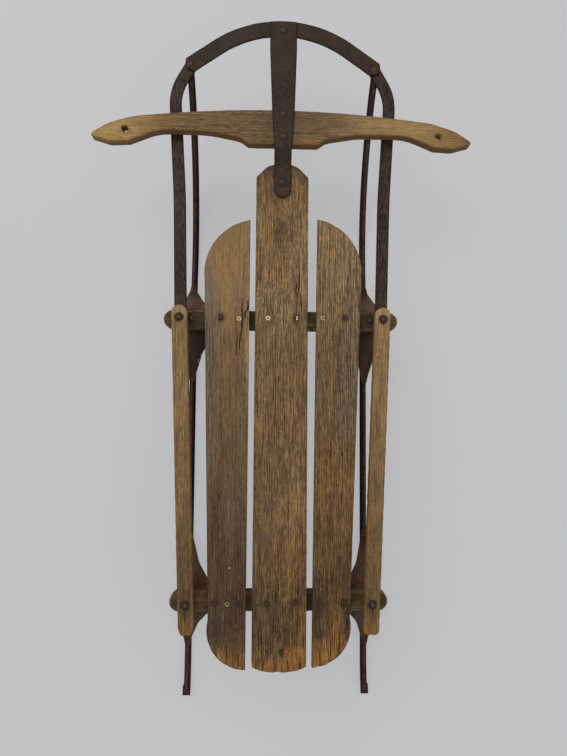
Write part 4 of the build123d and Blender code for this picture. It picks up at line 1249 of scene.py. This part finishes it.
class SLED_OT_fasteners(bpy.types.Operator):
    """Make the bolts, rivets and screws"""

    bl_idname = "sled.fasteners"
    bl_label = "Make fasteners"

    def execute(self, context):
        look, shapes = context.scene.sled_finish, context.scene.sled_shapes
        nut_seat, nut_rows, both = BENCH_LOW - 3.0, [11, 12, 13, 14], (-1, 1)
        # Bolt crowns: worn, and a painted highlight on the domes
        bolt_steel = aged_steel(
            "steel_bolts", look, look.steel_deep, 0.3, 0.5, 0.36, 4.0, crown=look.steel_worn_and_highlight, gloss=0.24
        )
        rivet_steel = aged_steel(
            "steel_rivets", look, look.rust_dark, 0.6, 0.6, 0.42, 6.0, crown=look.rivet_brown, gloss=0.16
        )
        pivot_steel = aged_steel("steel_pivot", look, look.runner_brown, 0.2, 0.5, 0.4, 1.0, gloss=0.3)
        screw_steel = aged_steel(
            "steel_screws", look, look.steel_deep, 0.3, 0.4, 0.4, 7.0, crown=look.screw_brown
        )

        bolts = []
        for x, y in ((FRONT_BOLT_X, FRONT_BENCH_Y), (REAR_BOLT_X, REAR_BENCH_Y)):
            seat = BENCH_TOP + RAIL_THICK + (y + 4.8 - REAR_BENCH_Y + 14.0) * (RAIL_LIFT / RAIL_RUN) + 0.3
            profile = dome(4.8, 2.6, nut_seat - seat, 5.0)
            bolts.append(turned(profile, [(side * x, y, seat) for side in both], 36, nut_rows))
        fitted("rail_bolts_domed", gather(bolts), bolt_steel, "frame", "bolts", "rail_bolts")

        seat = SLAT_TOP + 3.6
        bolt = turned(dome(6.2, 2.6, BENCH_TOP - seat, 5.0), [(0, PIVOT_Y, seat)], 40, nut_rows)
        fitted("pivot_bolt_domed", bolt, pivot_steel, "frame", "bolts", "pivot_bolt")

        seat = BOW_LOW + BAR_THICK
        corners = [(side * CORNER_X, CORNER_Y, seat) for side in both]
        corner = turned(dome(7.0, 2.6, 136.7 - seat), corners, 36)
        seat = STRAP_LOW + 3.3
        front = turned(dome(6.0, 2.6, BOW_LOW - seat), [(0, STRAP_RIVET_Y, seat)], 36)
        fitted("bow_rivets_domed", gather([corner, front]), rivet_steel, "bow", "bolts", "bow_rivets")

        places = [(side * KNEE_BOLT_X, KNEE_BOLT_Y, BENCH_TOP) for side in both]
        bolts = turned(dome(4.4, 2.2, nut_seat - BENCH_TOP, 4.6), places, 32, nut_rows)
        fitted("knee_bolts", bolts, bolt_steel, "frame", "bolts")

        seat = CROSSBAR_LOW + CROSSBAR_THICK + 3.3
        places = [(0, y, seat) for y in CROSSBAR_BOLTS_Y]
        bolts = turned(dome(5.2, 2.0, CROSSBAR_LOW - seat, 5.0), places, 36, nut_rows)
        fitted("crossbar_bolts", bolts, rivet_steel, "steering", "bolts")

        radius = shapes.screw_radius / MM
        screw = [(0, -1.6), (1.15, -1.5), (1.35, -0.1), (1.75, 0.32), (radius * 0.7, 0.45)]
        screw += [(radius * 0.92, 0.3), (radius, -0.05), (radius, -0.6), (1.6, -3.2), (1.4, -20), (0, -22)]
        heads = turned(screw, [(*place, SLAT_TOP) for place in BRASS_SCREWS], 28)
        x, y, _ = heads["points"].T
        sunk_x, sunk_y = SUNK_SCREW
        near = np.hypot(x - sunk_x, y - sunk_y) < 6.0
        dull = np.where(near, np.clip((sunk_x + 1.0 - x) / 0.8, 0.0, 1.0), blots(x, y, DULL_SCREWS))
        nail = [(0, 0.35), (0.6, 0.32), (1, 0.05), (1, -0.5), (0.5, -1), (0.4, -8), (0, -8.5)]
        nail = turned(nail, [(*NAIL, SLAT_TOP)], 16)
        # The nail's head has no hollow: its axis mark is moved out of reach of the painted shade
        axis = nail["marks"]["axis"]
        nail = marked(nail, axis=axis + 3.0, dull=np.zeros(len(axis)))
        heads = gather([marked(heads, dull=dull), nail])
        fitted("screws_bright", heads, brass("brass_screws", look), "frame", "bolts")
        heads = turned(screw, [(*place, SLAT_TOP) for place in DARK_SCREWS], 28)
        fitted("screws_dark", heads, screw_steel, "frame", "bolts")
        return {"FINISHED"}


# The ground's height just under the runners, millimetres, and the sky's colour in the picture
FLOOR_DROP, SKY_SEEN = -0.2, (0.525, 0.527, 0.538, 1.0)


class SLED_OT_stage(bpy.types.Operator):
    """Make the pale floor, the soft lights and the camera"""

    bl_idname = "sled.stage"
    bl_label = "Make stage"

    def execute(self, context):
        stage = context.scene.sled_stage
        reach = 9000.0
        y, x = np.meshgrid(*[np.linspace(-reach, reach, 9)] * 2, indexing="ij")
        points = np.stack([x, y, np.full(x.shape, FLOOR_DROP)], axis=2).reshape(-1, 3)
        mesh = bpy.data.meshes.new("floor")
        mesh.from_pydata((points * MM).tolist(), [], grid_faces(9, 9).tolist())
        mesh.materials.append(pale_floor("floor_pale", stage))
        floor = bpy.data.objects.new("floor", mesh)
        context.scene.collection.objects.link(floor)

        world = bpy.data.worlds.new("soft_sky")
        context.scene.world = world
        world.use_nodes = True
        nodes, links = world.node_tree.nodes, world.node_tree.links
        nodes["Background"].inputs["Color"].default_value = (1.0, 1.0, 1.0, 1.0)
        nodes["Background"].inputs["Strength"].default_value = stage.sky_strength
        seen = nodes.new("ShaderNodeBackground")
        seen.inputs["Color"].default_value = SKY_SEEN
        path = nodes.new("ShaderNodeLightPath")
        swap = nodes.new("ShaderNodeMixShader")
        links.new(path.outputs["Is Camera Ray"], swap.inputs[0])
        links.new(nodes["Background"].outputs[0], swap.inputs[1])
        links.new(seen.outputs[0], swap.inputs[2])
        links.new(swap.outputs[0], nodes["World Output"].inputs["Surface"])

        lamps = (
            ("key_light", (-0.9, 1.3, 2.3), 1.8, stage.key_power),
            ("fill_light", (1.2, -1.5, 2.0), 2.2, stage.fill_power),
        )
        for name, place, width, power in lamps:
            lamp = bpy.data.lights.new(name, "AREA")
            lamp.shape = "DISK"
            lamp.size = width
            lamp.energy = power
            holder = bpy.data.objects.new(name, lamp)
            holder.location = place
            aim = Vector((0.0, 0.0, 0.1)) - Vector(place)
            holder.rotation_euler = aim.to_track_quat("-Z", "Y").to_euler()
            context.scene.collection.objects.link(holder)

        lens = bpy.data.cameras.new("camera")
        lens.lens = stage.lens
        lens.sensor_width = 36.0
        lens.clip_start, lens.clip_end = 0.02, 60.0
        camera = bpy.data.objects.new("camera", lens)
        camera.location = stage.camera_place
        turn = Vector(stage.camera_turn)
        camera.rotation_mode = "AXIS_ANGLE"
        camera.rotation_axis_angle = (turn.length, *turn.normalized())
        context.scene.collection.objects.link(camera)
        context.scene.camera = camera
        context.scene.view_settings.view_transform = "Standard"
        return {"FINISHED"}


MAKERS = (
    SLED_OT_slats,
    SLED_OT_benches,
    SLED_OT_rails,
    SLED_OT_crossbar,
    SLED_OT_knees,
    SLED_OT_runners,
    SLED_OT_linkage,
    SLED_OT_fasteners,
    SLED_OT_stage,
)


class SLED_PT_panel(bpy.types.Panel):
    """The sled's makers, one button each"""

    bl_idname = "SLED_PT_panel"
    bl_label = "Sled"
    bl_space_type = "VIEW_3D"
    bl_region_type = "UI"
    bl_category = "Sled"

    def draw(self, context):
        for maker in MAKERS:
            self.layout.operator(maker.bl_idname)


SETTINGS = (("sled_finish", SledFinish), ("sled_shapes", SledShapes), ("sled_stage", SledStage))


def register():
    for name, group in SETTINGS:
        bpy.utils.register_class(group)
        setattr(bpy.types.Scene, name, bpy.props.PointerProperty(type=group))
    for maker in (*MAKERS, SLED_PT_panel):
        bpy.utils.register_class(maker)


def unregister():
    for maker in reversed((*MAKERS, SLED_PT_panel)):
        bpy.utils.unregister_class(maker)
    for name, group in reversed(SETTINGS):
        delattr(bpy.types.Scene, name)
        bpy.utils.unregister_class(group)


def main():
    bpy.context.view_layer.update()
    register()
    for maker in MAKERS:
        family, name = maker.bl_idname.split(".")
        getattr(getattr(bpy.ops, family), name)()


if __name__ == "__main__":
    main()
